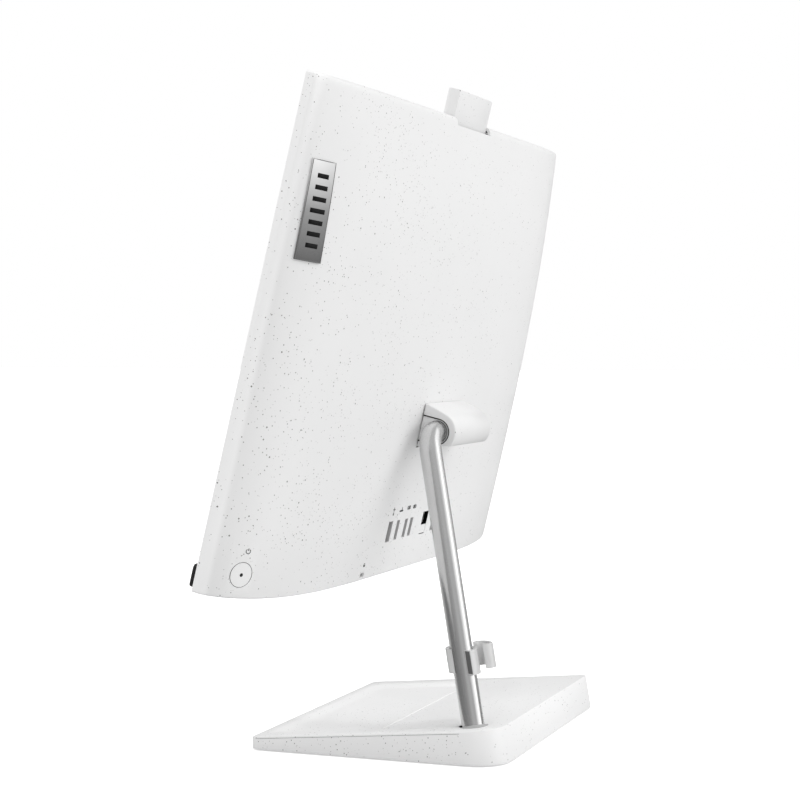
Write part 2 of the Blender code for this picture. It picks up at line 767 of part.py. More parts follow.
def make_button():
    centre = Vector((BUTTON_X, rear_depth(BUTTON_X, BUTTON_HEIGHT), BUTTON_HEIGHT))
    out = rear_normal(BUTTON_X, BUTTON_HEIGHT)
    mesh = button_rod(BUTTON_RADIUS, -0.0045, 0.004)
    mesh.transform(Matrix.Translation(-centre))
    button = part("power_button", mesh, white_shell, location=centre, parent=display, smooth=35)
    combine(button, cutter("shell_form", shell_surface(True, 64, 24), parent=display), "INTERSECT")
    switch = block((-0.004, -0.004, -0.0035), (0.004, 0.004, 0.0))
    switch.transform(turn_to(out))
    part("power_switch", switch, black_plastic, location=centre - out * 0.0058, parent=display)


def make_badge():
    """A thin plate that follows the curved side of the shell."""
    bm = bmesh.new()
    bmesh.ops.create_grid(bm, x_segments=6, y_segments=4, size=1.0)
    for vert in bm.verts:
        x = BADGE_X + BADGE_HALF * vert.co.x
        height = (BADGE_LOW + BADGE_HIGH) / 2 + (BADGE_HIGH - BADGE_LOW) / 2 * vert.co.y
        vert.co = Vector((x, rear_depth(x, height), height)) + rear_normal(x, height) * BADGE_LIFT
    bmesh.ops.reverse_faces(bm, faces=bm.faces)
    badge = part("badge_plate", to_mesh(bm, "badge"), brushed_metal, parent=display)
    skin = badge.modifiers.new("thickness", "SOLIDIFY")
    skin.thickness = BADGE_THICKNESS
    skin.offset = 1.0


# --- stand -------------------------------------------------------------------------------------------------


def tube_direction():
    """Down along the tube's straight part."""
    return (TUBE_ENTRY - TUBE_CORNER).normalized()


def tube_path(extra=0.0):
    """Along the hinge axis, round the elbow and down to the base."""
    down = tube_direction()
    along = Vector((1, 0, 0))
    bend = math.acos(down.dot(along))
    reach = TUBE_BEND * math.tan(bend / 2)
    side = (down - along * down.dot(along)).normalized()
    first = TUBE_CORNER - along * reach
    centre = first + side * TUBE_BEND
    points = [Vector((TUBE_START - extra, TUBE_CORNER.y, TUBE_CORNER.z))]
    steps = 9
    for i in range(steps + 1):
        angle = bend * i / steps
        points.append(centre - side * TUBE_BEND * math.cos(angle) + along * TUBE_BEND * math.sin(angle))
    points.append(TUBE_ENTRY + down * (TUBE_SUNK + extra))
    return points


def make_tube():
    tube = part("stand_tube", sweep(tube_path(), TUBE_RADIUS, 6), steel, smooth=35)
    cut(tube, cutter("tube_bore", sweep(tube_path(0.002), TUBE_BORE, 4)))


def base_height(y):
    return BASE_FRONT + (BASE_REAR - BASE_FRONT) * (y + BASE_DEPTH / 2) / BASE_DEPTH


def wedge(inset, floor, drop, round_front, round_rear, round_far):
    """The base's outline between a level floor and its sloping top, each moved in from the outer form."""
    width = BASE_WIDTH - 2 * inset
    outline = rounded(width, BASE_DEPTH - 2 * inset, round_front, round_rear, round_far, 6)
    bm = bmesh.new()
    bm.from_mesh(plate(outline, floor, 0.05))
    slope = (BASE_REAR - BASE_FRONT) / BASE_DEPTH
    bmesh.ops.bisect_plane(
        bm,
        geom=bm.verts[:] + bm.edges[:] + bm.faces[:],
        plane_co=(0, 0, base_height(0) - drop),
        plane_no=(0, -slope, 1),
        clear_outer=True,
    )
    bmesh.ops.holes_fill(bm, edges=[edge for edge in bm.edges if edge.is_boundary], sides=0)
    for vert in bm.verts:
        rearward = max(0.0, vert.co.y / (BASE_DEPTH / 2))
        vert.co.y -= BASE_LEAN * (vert.co.z - BASE_FLOOR) * rearward
    bmesh.ops.recalc_face_normals(bm, faces=bm.faces)
    return to_mesh(bm, "wedge")


def ease(share):
    share = min(1.0, max(0.0, share))
    return share * share * (3 - 2 * share)


def tray_mesh():
    """The tray's cutter: a shallow dish inside a rim at both sides and a lip at the front."""
    side = BASE_WIDTH / 2 - TRAY_RIM
    front = TRAY_LIP - BASE_DEPTH / 2
    shares = (0.0, 0.15, 0.32, 0.5, 0.7, 1.0)
    inward = [side - TRAY_SLOPE * share for share in shares]
    across = [-x for x in inward] + inward[::-1]
    depths = [(front + TRAY_SLOPE * share, TRAY_DROP * ease(share)) for share in shares]
    depths += [(TRAY_CREASE - TRAY_GROOVE, TRAY_DROP), (TRAY_CREASE, TRAY_DROP + TRAY_GROOVE)]
    depths += [(TRAY_CREASE + TRAY_GROOVE, TRAY_DROP), (TRAY_END, 0.0)]
    bm = bmesh.new()
    rows = []
    for x in across:
        share = ease((side - abs(x)) / TRAY_SLOPE)
        floor = [bm.verts.new((x, y, base_height(y) + 0.00015 - depth * share)) for y, depth in depths]
        lid = [bm.verts.new((x, y, 0.05)) for y, _ in depths]
        rows.append(floor + lid[::-1])
    for near, far in zip(rows, rows[1:]):
        for i in range(len(near)):
            j = (i + 1) % len(near)
            bm.faces.new((near[i], near[j], far[j], far[i]))
    count = len(depths)
    for row in (rows[0], rows[-1]):
        for i in range(count - 1):
            bm.faces.new((row[i], row[i + 1], row[2 * count - 2 - i], row[2 * count - 1 - i]))
    bmesh.ops.recalc_face_normals(bm, faces=bm.faces)
    return to_mesh(bm, "tray")


def make_base():
    outer = wedge(0, BASE_FLOOR, 0, FRONT_CORNER, REAR_CORNER, FAR_CORNER)
    cover = part("base_cover", outer, white_shell, smooth=35)
    soften(cover, 0.0022, 3, 50)
    tray_cutter = cutter("tray", tray_mesh())
    under = wedge(0.003, -0.01, TRAY_DROP + 0.0026, FRONT_CORNER - 0.002, REAR_CORNER - 0.003, 0.0035)
    down = tube_direction()
    hole = rod(0.0110, TUBE_ENTRY - down * 0.02, TUBE_ENTRY + down * 0.02, 32)
    cut(cover, tray_cutter, cutter("base_cavity", under), cutter("tube_opening", hole))

    floor = rounded(BASE_WIDTH - 0.0070, BASE_DEPTH - 0.0075, 0.0030, 0.0216, 0.003)
    part("base_bottom", plate(floor, 0.0015, 0.0029), grey_plastic)
    weight = part("base_weight", block((-0.110, -0.030, 0.0033), (0.112, 0.082, 0.0085)), steel)
    foot_x = TUBE_ENTRY.x + 0.003
    foot_y = TUBE_ENTRY.y + 0.003
    cut(
        weight,
        cutter("screw_sink", rod(0.0056, (foot_x, foot_y, 0.0), (foot_x, foot_y, 0.0060), 16)),
        cutter("screw_way", rod(0.0034, (foot_x, foot_y, 0.0), (foot_x, foot_y, 0.02), 16)),
    )
    shank = [(0.0, 0.0128), (0.0030, 0.0128), (0.0030, 0.0057)]
    screw = turned(shank + [(0.0050, 0.0057), (0.0050, 0.0036), (0.0, 0.0036)], 12)
    part("socket_screw", screw, steel, location=(foot_x, foot_y, 0.0))
    socket = part("tube_socket", rod(0.0105, TUBE_ENTRY + down * 0.011, TUBE_ENTRY, 28), grey_plastic)
    flange = rod(0.0130, (foot_x, foot_y, 0.0088), (foot_x, foot_y, 0.0132), 28)
    join(socket, cutter("socket_flange", flange))
    under_flange = block((foot_x - 0.03, foot_y - 0.03, -0.01), (foot_x + 0.03, foot_y + 0.03, 0.0088))
    seat = TUBE_ENTRY + down * (TUBE_SUNK + GAP)
    cut(
        socket,
        cutter("socket_floor", under_flange),
        cutter("socket_bore", rod(TUBE_RADIUS + GAP, seat, TUBE_ENTRY - down * 0.02, 28)),
        cutter("socket_thread", rod(0.0033, (foot_x, foot_y, 0.0), (foot_x, foot_y, 0.0131), 12)),
    )
    corners = [(x, y) for x in (-0.095, 0.095) for y in (-0.072, 0.068)]
    for number, (x, y) in enumerate(corners, 1):
        foot = turned([(0.0, 0.0012), (0.0085, 0.0012), (0.0085, 0.0003), (0.0080, 0.0), (0.0, 0.0)], 20)
        part(f"rubber_foot_{number}", foot, rubber, location=(x, y, 0.0))


def slanted(outline, low, high):
    """A plate whose two ends slope, so that they are nearer level than square to the leaning tube."""
    mesh = plate(outline, low, high)
    for vert in mesh.vertices:
        vert.co.z += CLIP_SLOPE[0] * vert.co.x + CLIP_SLOPE[1] * vert.co.y
    return mesh


def make_clip():
    """A spring clip round the tube, open at the front, with a smaller hook beside it for a cable."""
    up = -tube_direction()
    middle = TUBE_CORNER - up * ((TUBE_CORNER.z - CLIP_HEIGHT) / up.z)
    front = (Vector((1, 0, 0)) - up * up.x).normalized()
    frame = Matrix((front, up.cross(front), up)).transposed().to_4x4()
    half = CLIP_LENGTH / 2
    outer_lip = math.degrees(math.acos(GRIP_MOUTH / GRIP_OUTER))
    inner_lip = math.degrees(math.acos(GRIP_MOUTH / GRIP_INNER))
    grip = arc((0, 0), GRIP_OUTER, outer_lip, 360 - outer_lip, 24)
    grip += arc((0, 0), GRIP_INNER, 360 - inner_lip, inner_lip, 24)
    clip = part("cable_clip", slanted(grip, -half, half), clip_plastic, smooth=35)
    clip.matrix_world = Matrix.Translation(middle) @ frame
    hook = arc(HOOK_CENTRE, HOOK_OUTER, HOOK_FIRST, HOOK_LAST, 18)
    hook += arc(HOOK_CENTRE, HOOK_INNER, HOOK_LAST, HOOK_FIRST, 18)
    hook_piece = cutter("clip_hook", slanted(hook, HOOK_RAISE - half, HOOK_RAISE + half))
    hook_piece.matrix_world = clip.matrix_world
    join(clip, hook_piece)


# --- build -------------------------------------------------------------------------------------------------

for old in list(bpy.data.objects):
    bpy.data.objects.remove(old)

parts = new_collection("all_in_one_pc")
cutters = new_collection("cutters")
cutters.hide_render = True

white_shell = finish("white_shell", (0.83, 0.83, 0.83), 0.45)
black_plastic = finish("black_plastic", (0.02, 0.02, 0.02), 0.45)
grey_plastic = finish("grey_plastic", (0.55, 0.55, 0.55), 0.5)
port_plastic = finish("port_plastic", (0.60, 0.60, 0.60), 0.5)
clip_plastic = finish("clip_plastic", (0.75, 0.75, 0.75), 0.35)
panel_glass = finish("panel_glass", (0.01, 0.01, 0.012), 0.08)
steel = finish("satin_steel", (0.60, 0.60, 0.61), 0.3, 1.0)
brushed_metal = finish("brushed_metal", (0.45, 0.45, 0.46), 0.35, 1.0)
aluminium = finish("aluminium", (0.75, 0.75, 0.76), 0.4, 1.0)
copper = finish("copper", (0.75, 0.40, 0.25), 0.3, 1.0)
circuit_green = finish("circuit_green", (0.02, 0.16, 0.07), 0.5)
silicon = finish("silicon", (0.12, 0.12, 0.14), 0.25)
rubber = finish("rubber", (0.05, 0.05, 0.05), 0.8)

tilt_axis = place("tilt_axis", None, parts, HINGE_AXIS, (-DISPLAY_TILT, 0, 0), None)
display = place("display_frame", None, parts, (0, -HINGE_DEPTH, -HINGE_HEIGHT), (0, 0, 0), tilt_axis)

make_rear_cover()
make_ports()
make_front()
make_electronics()
make_cooling()
make_hinge()
make_camera()
make_button()
make_badge()
make_tube()
make_base()
make_clip()
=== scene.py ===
"""The looks of the all-in-one computer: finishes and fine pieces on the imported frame, a studio and a camera.

Metres, in the frame's own axes. Display pieces are placed in the display's coordinates: X along the screen,
Y the depth from the front to the rear, Z the height up the display.
"""

import json
import math

import bmesh
import bpy
from mathutils import Matrix, Vector
from mathutils.bvhtree import BVHTree


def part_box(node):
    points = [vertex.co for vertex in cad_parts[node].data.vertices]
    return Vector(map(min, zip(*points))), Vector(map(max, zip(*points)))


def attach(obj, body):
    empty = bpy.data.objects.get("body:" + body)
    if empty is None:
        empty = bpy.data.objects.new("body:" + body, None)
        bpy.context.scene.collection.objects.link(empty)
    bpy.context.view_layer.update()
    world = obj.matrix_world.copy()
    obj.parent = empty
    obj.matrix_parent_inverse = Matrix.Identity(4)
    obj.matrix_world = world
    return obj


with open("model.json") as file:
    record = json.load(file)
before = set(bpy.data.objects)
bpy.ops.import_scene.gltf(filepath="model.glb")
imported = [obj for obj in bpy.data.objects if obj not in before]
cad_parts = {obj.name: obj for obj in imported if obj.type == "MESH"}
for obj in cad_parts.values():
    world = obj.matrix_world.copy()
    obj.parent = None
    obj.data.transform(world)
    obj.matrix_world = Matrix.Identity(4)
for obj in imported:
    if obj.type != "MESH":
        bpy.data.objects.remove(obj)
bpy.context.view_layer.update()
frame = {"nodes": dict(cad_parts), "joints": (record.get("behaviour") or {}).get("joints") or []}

JOINTS = {joint["name"]: joint for joint in frame["joints"]}
HINGE = Vector(JOINTS["display_tilt"]["pos_m"])
DISPLAY_UP = Vector(JOINTS["camera_slide"]["axis"])
ACROSS = Vector((1, 0, 0))
DISPLAY_BACK = DISPLAY_UP.cross(ACROSS)
TUBE_UP = Vector(JOINTS["cable_clip_slide"]["axis"])
PRESS = Vector(JOINTS["power_button_press"]["axis"])

# The hinge axis, in the display's coordinates
HINGE_DEPTH = 0.0595
HINGE_HEIGHT = 0.111
DISPLAY_ORIGIN = HINGE - DISPLAY_BACK * HINGE_DEPTH - DISPLAY_UP * HINGE_HEIGHT
DISPLAY = Matrix((ACROSS, DISPLAY_BACK, DISPLAY_UP)).transposed().to_4x4()
DISPLAY.translation = DISPLAY_ORIGIN
# Further out than any surface, for the start of a ray
BEHIND = 0.2

# The camera fitted to the photo: place in metres, angles in radians, lens and sensor in millimetres
CAMERA_PLACE = Vector((1.3771, 0.4839, 0.2879))
CAMERA_YAW = 0.354
CAMERA_PITCH = -0.028
CAMERA_LENS = 87.57
SENSOR = 36.0

# Thin pieces: how far they float off the surface they are laid on, and how thick they are
MARK_LIFT = 0.00006
MARK_THICKNESS = 0.00004
INLAY_LIFT = 0.00005
INLAY_THICKNESS = 0.00006

# An edge sharper than this stays sharp, in degrees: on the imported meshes, and on the pieces made here
SHARP_NODE_EDGE = 28
SHARP_PIECE_EDGE = 35

# The specks in the white plastic, one row for each size: cell, radius, strength and tone
SPECK_LAYERS = (
    (0.0026, 0.00028, 0.76, 0.20),
    (0.0033, 0.00040, 0.88, 0.13),
    (0.0088, 0.00055, 0.90, 0.10),
)

# The upright sockets' openings in the rear cover: X, height, half the width and half the height
PORT_ROW = 0.0335
PORT_OPENINGS = {
    "usb_port_1": (0.0575, PORT_ROW, 0.00425, 0.0079),
    "usb_port_2": (0.0415, PORT_ROW, 0.0031, 0.0076),
    "usb_port_3": (0.0245, PORT_ROW, 0.0031, 0.00725),
    "usb_port_4": (0.0130, PORT_ROW, 0.0031, 0.00725),
    "hdmi_port": (-0.0380, PORT_ROW, 0.0031, 0.00775),
}


# --- nodes of materials ------------------------------------------------------------------------------------


def node(tree, kind, settings=None, **inputs):
    """A shader node with its settings, and its inputs given as values or as other nodes' outputs.

    An input goes by its name, or by its number as i0, i1 and so on.
    """
    made = tree.nodes.new(kind)
    for key, value in (settings or {}).items():
        setattr(made, key, value)
    for key, value in inputs.items():
        socket = made.inputs[int(key[1:])] if key[1:].isdigit() else made.inputs[key.replace("_", " ")]
        if isinstance(value, bpy.types.NodeSocket):
            tree.links.new(value, socket)
        else:
            socket.default_value = value
    return made


def maths(tree, operation, first, second=0.0, third=0.0):
    """One sum on numbers or on other nodes' outputs."""
    return node(tree, "ShaderNodeMath", {"operation": operation}, i0=first, i1=second, i2=third).outputs[0]


def vector_maths(tree, operation, **inputs):
    """One sum on vectors, with the inputs as node() takes them."""
    return node(tree, "ShaderNodeVectorMath", {"operation": operation}, **inputs)


def step(tree, value, low, high, out_low=0.0, out_high=1.0):
    """Goes smoothly from one value to another while the input goes from low to high."""
    ends = {"From_Min": low, "From_Max": high, "To_Min": out_low, "To_Max": out_high}
    made = node(tree, "ShaderNodeMapRange", {"interpolation_type": "SMOOTHSTEP"}, Value=value, **ends)
    return made.outputs["Result"]


def along(tree, point, axis, origin=Vector((0, 0, 0))):
    """How far a point lies along an axis from an origin."""
    moved = vector_maths(tree, "SUBTRACT", i0=point, i1=tuple(origin)).outputs[0]
    return vector_maths(tree, "DOT_PRODUCT", i0=moved, i1=tuple(axis)).outputs["Value"]


def squeezed(tree, point, axis, share=0.97):
    """The point with most of its place along the axis taken out, so that a texture is drawn out that way."""
    far = maths(tree, "MULTIPLY", along(tree, point, axis), share)
    back = vector_maths(tree, "SCALE", i0=tuple(axis), Scale=far).outputs[0]
    return vector_maths(tree, "SUBTRACT", i0=point, i1=back).outputs[0]


def noise(tree, point, scale, detail=2.0, roughness=0.5):
    """Soft noise between 0 and 1, finer for a larger scale."""
    inputs = {"Vector": point, "Scale": scale, "Detail": detail, "Roughness": roughness}
    return node(tree, "ShaderNodeTexNoise", None, **inputs).outputs["Fac"]


def mix(tree, factor, first, second):
    """A colour between two, each a colour or another node's output."""
    made = node(tree, "ShaderNodeMix", {"data_type": "RGBA"})
    for socket, value in ((made.inputs[0], factor), (made.inputs[6], first), (made.inputs[7], second)):
        if isinstance(value, bpy.types.NodeSocket):
            tree.links.new(value, socket)
        elif isinstance(value, float):
            socket.default_value = value
        else:
            socket.default_value = (*value, 1.0)
    return made.outputs[2]


def grey(value):
    """A grey as a colour."""
    return (value, value, value)


def start_material(name, roughness, metallic=0.0, **sockets):
    """A new material with its tree, its shader, and the place in metres that its textures start from."""
    made = bpy.data.materials.new(name)
    made.use_nodes = True
    tree = made.node_tree
    shader = tree.nodes["Principled BSDF"]
    shader.inputs["Roughness"].default_value = roughness
    shader.inputs["Metallic"].default_value = metallic
    for key, value in sockets.items():
        shader.inputs[key.replace("_", " ")].default_value = value
    point = tree.nodes.new("ShaderNodeTexCoord").outputs["Object"]
    return made, tree, shader, point


def finish_material(tree, shader, color, roughness=None, height=None, depth=0.00002):
    """Links what varies: the colour, the roughness and the height of the fine relief."""
    tree.links.new(color, shader.inputs["Base Color"])
    if roughness is not None:
        tree.links.new(roughness, shader.inputs["Roughness"])
    if height is not None:
        bump = node(tree, "ShaderNodeBump", None, Height=height, Distance=depth, Strength=1.0)
        tree.links.new(bump.outputs["Normal"], shader.inputs["Normal"])


def specks(tree, point, cell, radius, share):
    """Round specks, as the cut through small balls scattered in space: 1 inside a speck and 0 outside."""
    made = node(tree, "ShaderNodeTexVoronoi", {"feature": "F1"}, Vector=point, Scale=1 / cell, Randomness=1.0)
    inside = step(tree, made.outputs["Distance"], radius / cell * 1.15, radius / cell * 0.85)
    pick = node(tree, "ShaderNodeSeparateColor", None, Color=made.outputs["Color"])
    kept = maths(tree, "LESS_THAN", pick.outputs["Red"], share)
    return maths(tree, "MULTIPLY", inside, kept)


def white_plastic(name, speckle=1.0, tone=0.87, rough=0.42, painted_edge_light=False):
    """White plastic with dark specks moulded in, more of them towards +X, and a fine eroded texture.

    The edge option paints light and shade onto the display's side: lighter at its front, a painted highlight,
    and slightly darker just behind that, a painted shade.
    """
    made, tree, shader, point = start_material(name, rough, 0.0, Specular_IOR_Level=0.45)
    color = mix(tree, noise(tree, point, 14.0, 3.0), grey(tone - 0.012), grey(tone + 0.008))
    if painted_edge_light:
        # Painted highlight at the front of the display's side and painted shade just behind it, scaled into
        # the colour
        pale, painted_shade = 1.085, 0.972
        depth = along(tree, point, DISPLAY_BACK, DISPLAY_ORIGIN)
        front = step(tree, depth, 0.008, 0.0115, pale, painted_shade)
        rear = step(tree, depth, 0.020, 0.034, painted_shade, 1.0)
        share = maths(tree, "MAXIMUM", front, rear)
        color = vector_maths(tree, "SCALE", i0=color, Scale=share).outputs[0]
    side = step(tree, along(tree, point, ACROSS), -0.22, 0.24, 0.26, 1.0)
    patch = step(tree, noise(tree, point, 22.0, 2.0), 0.36, 0.62, 0.35, 1.15)
    many = maths(tree, "MULTIPLY", maths(tree, "MULTIPLY", side, patch), 0.85 * speckle)
    for cell, radius, strength, dark in SPECK_LAYERS:
        spots = specks(tree, point, cell, radius, many)
        color = mix(tree, maths(tree, "MULTIPLY", spots, strength), color, (dark * 1.05, dark, dark * 0.95))
    grain = noise(tree, point, 1900.0, 2.0)
    satin = step(tree, noise(tree, point, 60.0, 3.0), 0.3, 0.7, rough - 0.04, rough + 0.05)
    finish_material(tree, shader, color, satin, grain, 0.000012)
    return made


def plain_plastic(name, tone, rough, texture=1500.0, depth=0.00002, vary=0.12, **sockets):
    """Moulded plastic in one colour, with slight clouds, a moulded grain and uneven gloss."""
    tone = grey(tone) if isinstance(tone, float) else tone
    made, tree, shader, point = start_material(name, rough, 0.0, **sockets)
    low = tuple(value * (1 - vary) for value in tone)
    high = tuple(value * (1 + vary) for value in tone)
    color = mix(tree, noise(tree, point, 35.0, 4.0), low, high)
    satin = step(tree, noise(tree, point, 90.0, 3.0), 0.3, 0.7, rough * 0.88, rough * 1.12)
    finish_material(tree, shader, color, satin, noise(tree, point, texture, 2.0), depth)
    return made


def flat_colour(name, tone, rough, **sockets):
    """The dark or grey colour of marks, seams and painted shade lines, with next to no relief."""
    return plain_plastic(name, tone, rough, 1800.0, 0.000004, **sockets)


def drawn_metal(name, tone, rough, axis):
    """Metal with fine streaks along one axis."""
    vary = 0.06
    tone = grey(tone) if isinstance(tone, float) else tone
    made, tree, shader, point = start_material(name, rough, 1.0)
    streak = noise(tree, squeezed(tree, point, axis), 2600.0, 3.0, 0.6)
    low = tuple(value * (1 - vary) for value in tone)
    high = tuple(min(1.0, value * (1 + vary)) for value in tone)
    color = mix(tree, streak, low, high)
    worn = noise(tree, point, 40.0, 4.0)
    satin = maths(tree, "MULTIPLY_ADD", streak, 0.10, rough - 0.05)
    satin = maths(tree, "MULTIPLY_ADD", worn, 0.06, maths(tree, "SUBTRACT", satin, 0.03))
    finish_material(tree, shader, color, satin, streak, 0.000004)
    return made


def badge_metal(name):
    """Brushed metal that is light at the top of the badge and dark at its foot."""
    foot_tone, middle_tone, top_tone = 0.030, 0.22, 0.80
    low, high = display_box("badge_plate")
    made, tree, shader, point = start_material(name, 0.34, 0.35, Specular_IOR_Level=0.4)
    height = along(tree, point, DISPLAY_UP, DISPLAY_ORIGIN)
    share = node(tree, "ShaderNodeMapRange", None, Value=height, From_Min=low.z, From_Max=high.z)
    ramp = node(tree, "ShaderNodeValToRGB", None, Fac=share.outputs["Result"])
    ramp.color_ramp.elements[0].color = (*grey(foot_tone), 1.0)
    ramp.color_ramp.elements[1].color = (*grey(top_tone), 1.0)
    ramp.color_ramp.elements.new(0.5).color = (*grey(middle_tone), 1.0)
    lines = noise(tree, squeezed(tree, point, ACROSS, 0.985), 5200.0, 2.0, 0.6)
    color = mix(tree, maths(tree, "MULTIPLY", lines, 0.16), ramp.outputs["Color"], grey(0.9))
    satin = maths(tree, "MULTIPLY_ADD", lines, 0.12, 0.28)
    finish_material(tree, shader, color, satin, lines, 0.000004)
    return made


def circuit(name):
    """A circuit board: green resist over tracks, with scattered solder joints."""
    made, tree, shader, point = start_material(name, 0.38, 0.0, Coat_Weight=0.2)
    settings = {"feature": "DISTANCE_TO_EDGE"}
    cells = node(tree, "ShaderNodeTexVoronoi", settings, Vector=point, Scale=420.0)
    track = step(tree, cells.outputs["Distance"], 0.03, 0.06)
    color = mix(tree, track, (0.03, 0.24, 0.11), (0.008, 0.10, 0.045))
    color = mix(tree, specks(tree, point, 0.0042, 0.0009, 0.55), color, grey(0.62))
    finish_material(tree, shader, color, None, track, 0.00003)
    return made


def socket_plastic(name, face_depth):
    """The network socket: a light face and a black inside."""
    made, tree, shader, point = start_material(name, 0.4)
    depth = along(tree, point, DISPLAY_BACK, DISPLAY_ORIGIN)
    inside = step(tree, depth, face_depth - 0.0001, face_depth - 0.0004)
    light = mix(tree, noise(tree, point, 200.0), grey(0.78), grey(0.84))
    color = mix(tree, inside, light, grey(0.008))
    finish_material(tree, shader, color, None, noise(tree, point, 2200.0), 0.00001)
    return made


def cloth(name):
    """The fine woven cover of the speaker bar."""
    made, tree, shader, point = start_material(name, 0.85, 0.0, Sheen_Weight=0.25)
    waves = []
    for axis in ("X", "Z"):
        settings = {"wave_type": "BANDS", "bands_direction": axis}
        waves.append(node(tree, "ShaderNodeTexWave", settings, Vector=point, Scale=260.0).outputs["Fac"])
    weave = maths(tree, "MULTIPLY", waves[0], waves[1])
    color = mix(tree, weave, grey(0.006), grey(0.035))
    finish_material(tree, shader, color, None, weave, 0.00012)
    return made


def screen_glass(name):
    """The switched-off screen: near black, with a faint haze where it has been wiped."""
    made, tree, shader, point = start_material(name, 0.14, 0.0, Coat_Weight=0.6, Coat_Roughness=0.08)
    haze = noise(tree, point, 9.0, 5.0, 0.6)
    color = mix(tree, haze, (0.008, 0.008, 0.010), (0.016, 0.016, 0.020))
    finish_material(tree, shader, color, step(tree, haze, 0.35, 0.7, 0.12, 0.22))
    return made


# --- the frame's nodes -------------------------------------------------------------------------------------


def smooth_group():
    """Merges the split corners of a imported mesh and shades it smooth, apart from its sharp edges."""
    group = bpy.data.node_groups.new("smooth_by_angle", "GeometryNodeTree")
    group.interface.new_socket("Geometry", in_out="INPUT", socket_type="NodeSocketGeometry")
    group.interface.new_socket("Geometry", in_out="OUTPUT", socket_type="NodeSocketGeometry")
    nodes = group.nodes
    links = group.links
    entry = nodes.new("NodeGroupInput")
    merge = nodes.new("GeometryNodeMergeByDistance")
    merge.inputs["Distance"].default_value = 1e-6
    clear = nodes.new("GeometryNodeRemoveAttribute")
    clear.inputs["Name"].default_value = "custom_normal"
    faces = nodes.new("GeometryNodeSetShadeSmooth")
    angle = nodes.new("GeometryNodeInputMeshEdgeAngle")
    sharp = nodes.new("FunctionNodeCompare")
    sharp.operation = "GREATER_THAN"
    sharp.inputs[1].default_value = math.radians(SHARP_NODE_EDGE)
    edges = nodes.new("GeometryNodeSetShadeSmooth")
    edges.domain = "EDGE"
    edges.inputs["Shade Smooth"].default_value = False
    leave = nodes.new("NodeGroupOutput")
    links.new(entry.outputs[0], merge.inputs["Geometry"])
    links.new(merge.outputs["Geometry"], clear.inputs["Geometry"])
    links.new(clear.outputs["Geometry"], faces.inputs["Geometry"])
    links.new(faces.outputs["Geometry"], edges.inputs["Geometry"])
    links.new(angle.outputs["Unsigned Angle"], sharp.inputs[0])
    links.new(sharp.outputs[0], edges.inputs["Selection"])
    links.new(edges.outputs["Geometry"], leave.inputs[0])
    return group


def display_box(name):
    """A node's lowest and highest corners in the display's coordinates."""
    back = DISPLAY.inverted()
    points = [back @ vert.co for vert in frame["nodes"][name].data.vertices]
    low = Vector(min(point[i] for point in points) for i in range(3))
    high = Vector(max(point[i] for point in points) for i in range(3))
    return low, high


def paint(material, *names):
    """Gives the material to the frame's nodes of these names."""
    for name in names:
        mesh = frame["nodes"][name].data
        mesh.materials.clear()
        mesh.materials.append(material)


def paint_frame():
    """Finishes every node of the frame, and returns the two materials that fine pieces share."""
    # The shell's material carries the painted highlight and shade along the display's side
    shell = white_plastic("speckled_shell_painted_edge", painted_edge_light=True)
    paint(shell, "rear_cover", "camera_housing", "chin_panel")
    paint(white_plastic("plain_button", 0.0), "power_button")
    paint(white_plastic("speckled_base", 0.95), "base_cover")
    # The hood's white is a darker copy of the shell's: painted shade on the hood and its end cap
    paint(white_plastic("hood_plastic_painted_shade", 0.10, 0.79, 0.36), "hinge_hood", "hinge_end_cap")
    paint(drawn_metal("satin_tube", 0.66, 0.24, TUBE_UP), "stand_tube")
    plain_steel = drawn_metal("sheet_steel", 0.55, 0.34, ACROSS)
    paint(plain_steel, "mid_chassis", "backlight_tray", "hinge_bracket", "base_weight", "lock_slot_plate")
    turned_steel = drawn_metal("turned_steel", 0.50, 0.28, ACROSS)
    paint(turned_steel, "hinge_shaft", "shaft_nut", "friction_band_1", "friction_band_2", "socket_screw")
    paint(turned_steel, *(f"hinge_screw_{i}" for i in range(1, 5)))
    port_steel = drawn_metal("port_steel", 0.42, 0.40, DISPLAY_UP)
    paint(port_steel, "hdmi_port", *(f"usb_port_{i}" for i in range(1, 5)))
    paint(badge_metal("graded_badge"), "badge_plate")
    black = plain_plastic("black_plastic", 0.018, 0.48)
    paint(black, "front_bezel", "left_speaker", "right_speaker", "fan_housing", "camera_guide")
    paint(black, "power_inlet", "power_switch", "fan_rotor")
    paint(plain_plastic("grey_plastic", 0.42, 0.5), "base_bottom", "tube_socket")
    gloss = {"Coat_Weight": 0.5, "Coat_Roughness": 0.1, "Transmission_Weight": 0.25}
    paint(plain_plastic("clip_plastic", 0.74, 0.22, 700.0, 0.000006, 0.03, **gloss), "cable_clip")
    paint(socket_plastic("socket_plastic", display_box("lan_port")[1].y), "lan_port")
    paint(screen_glass("screen_glass"), "lcd_panel", "camera_lens")
    paint(cloth("speaker_cloth"), "speaker_grille")
    paint(drawn_metal("sheet_aluminium", 0.72, 0.36, ACROSS), "hard_drive")
    paint(drawn_metal("copper", (0.80, 0.42, 0.26), 0.28, ACROSS), "cold_plate", "heat_pipe", "fin_stack")
    boards = ("main_board", "memory_module_1", "memory_module_2", "solid_state_drive", "wireless_card")
    paint(circuit("circuit_board"), *boards, "panel_driver_board", "port_board")
    paint(plain_plastic("chip_package", 0.10, 0.28, 400.0, 0.00001), "processor")
    paint(plain_plastic("rubber", 0.035, 0.8, 900.0, 0.00006), *(f"rubber_foot_{i}" for i in range(1, 5)))
    group = smooth_group()
    for obj in frame["nodes"].values():
        obj.modifiers.new("smooth_by_angle", "NODES").node_group = group
    return shell, turned_steel


# --- fine pieces -------------------------------------------------------------------------------------------


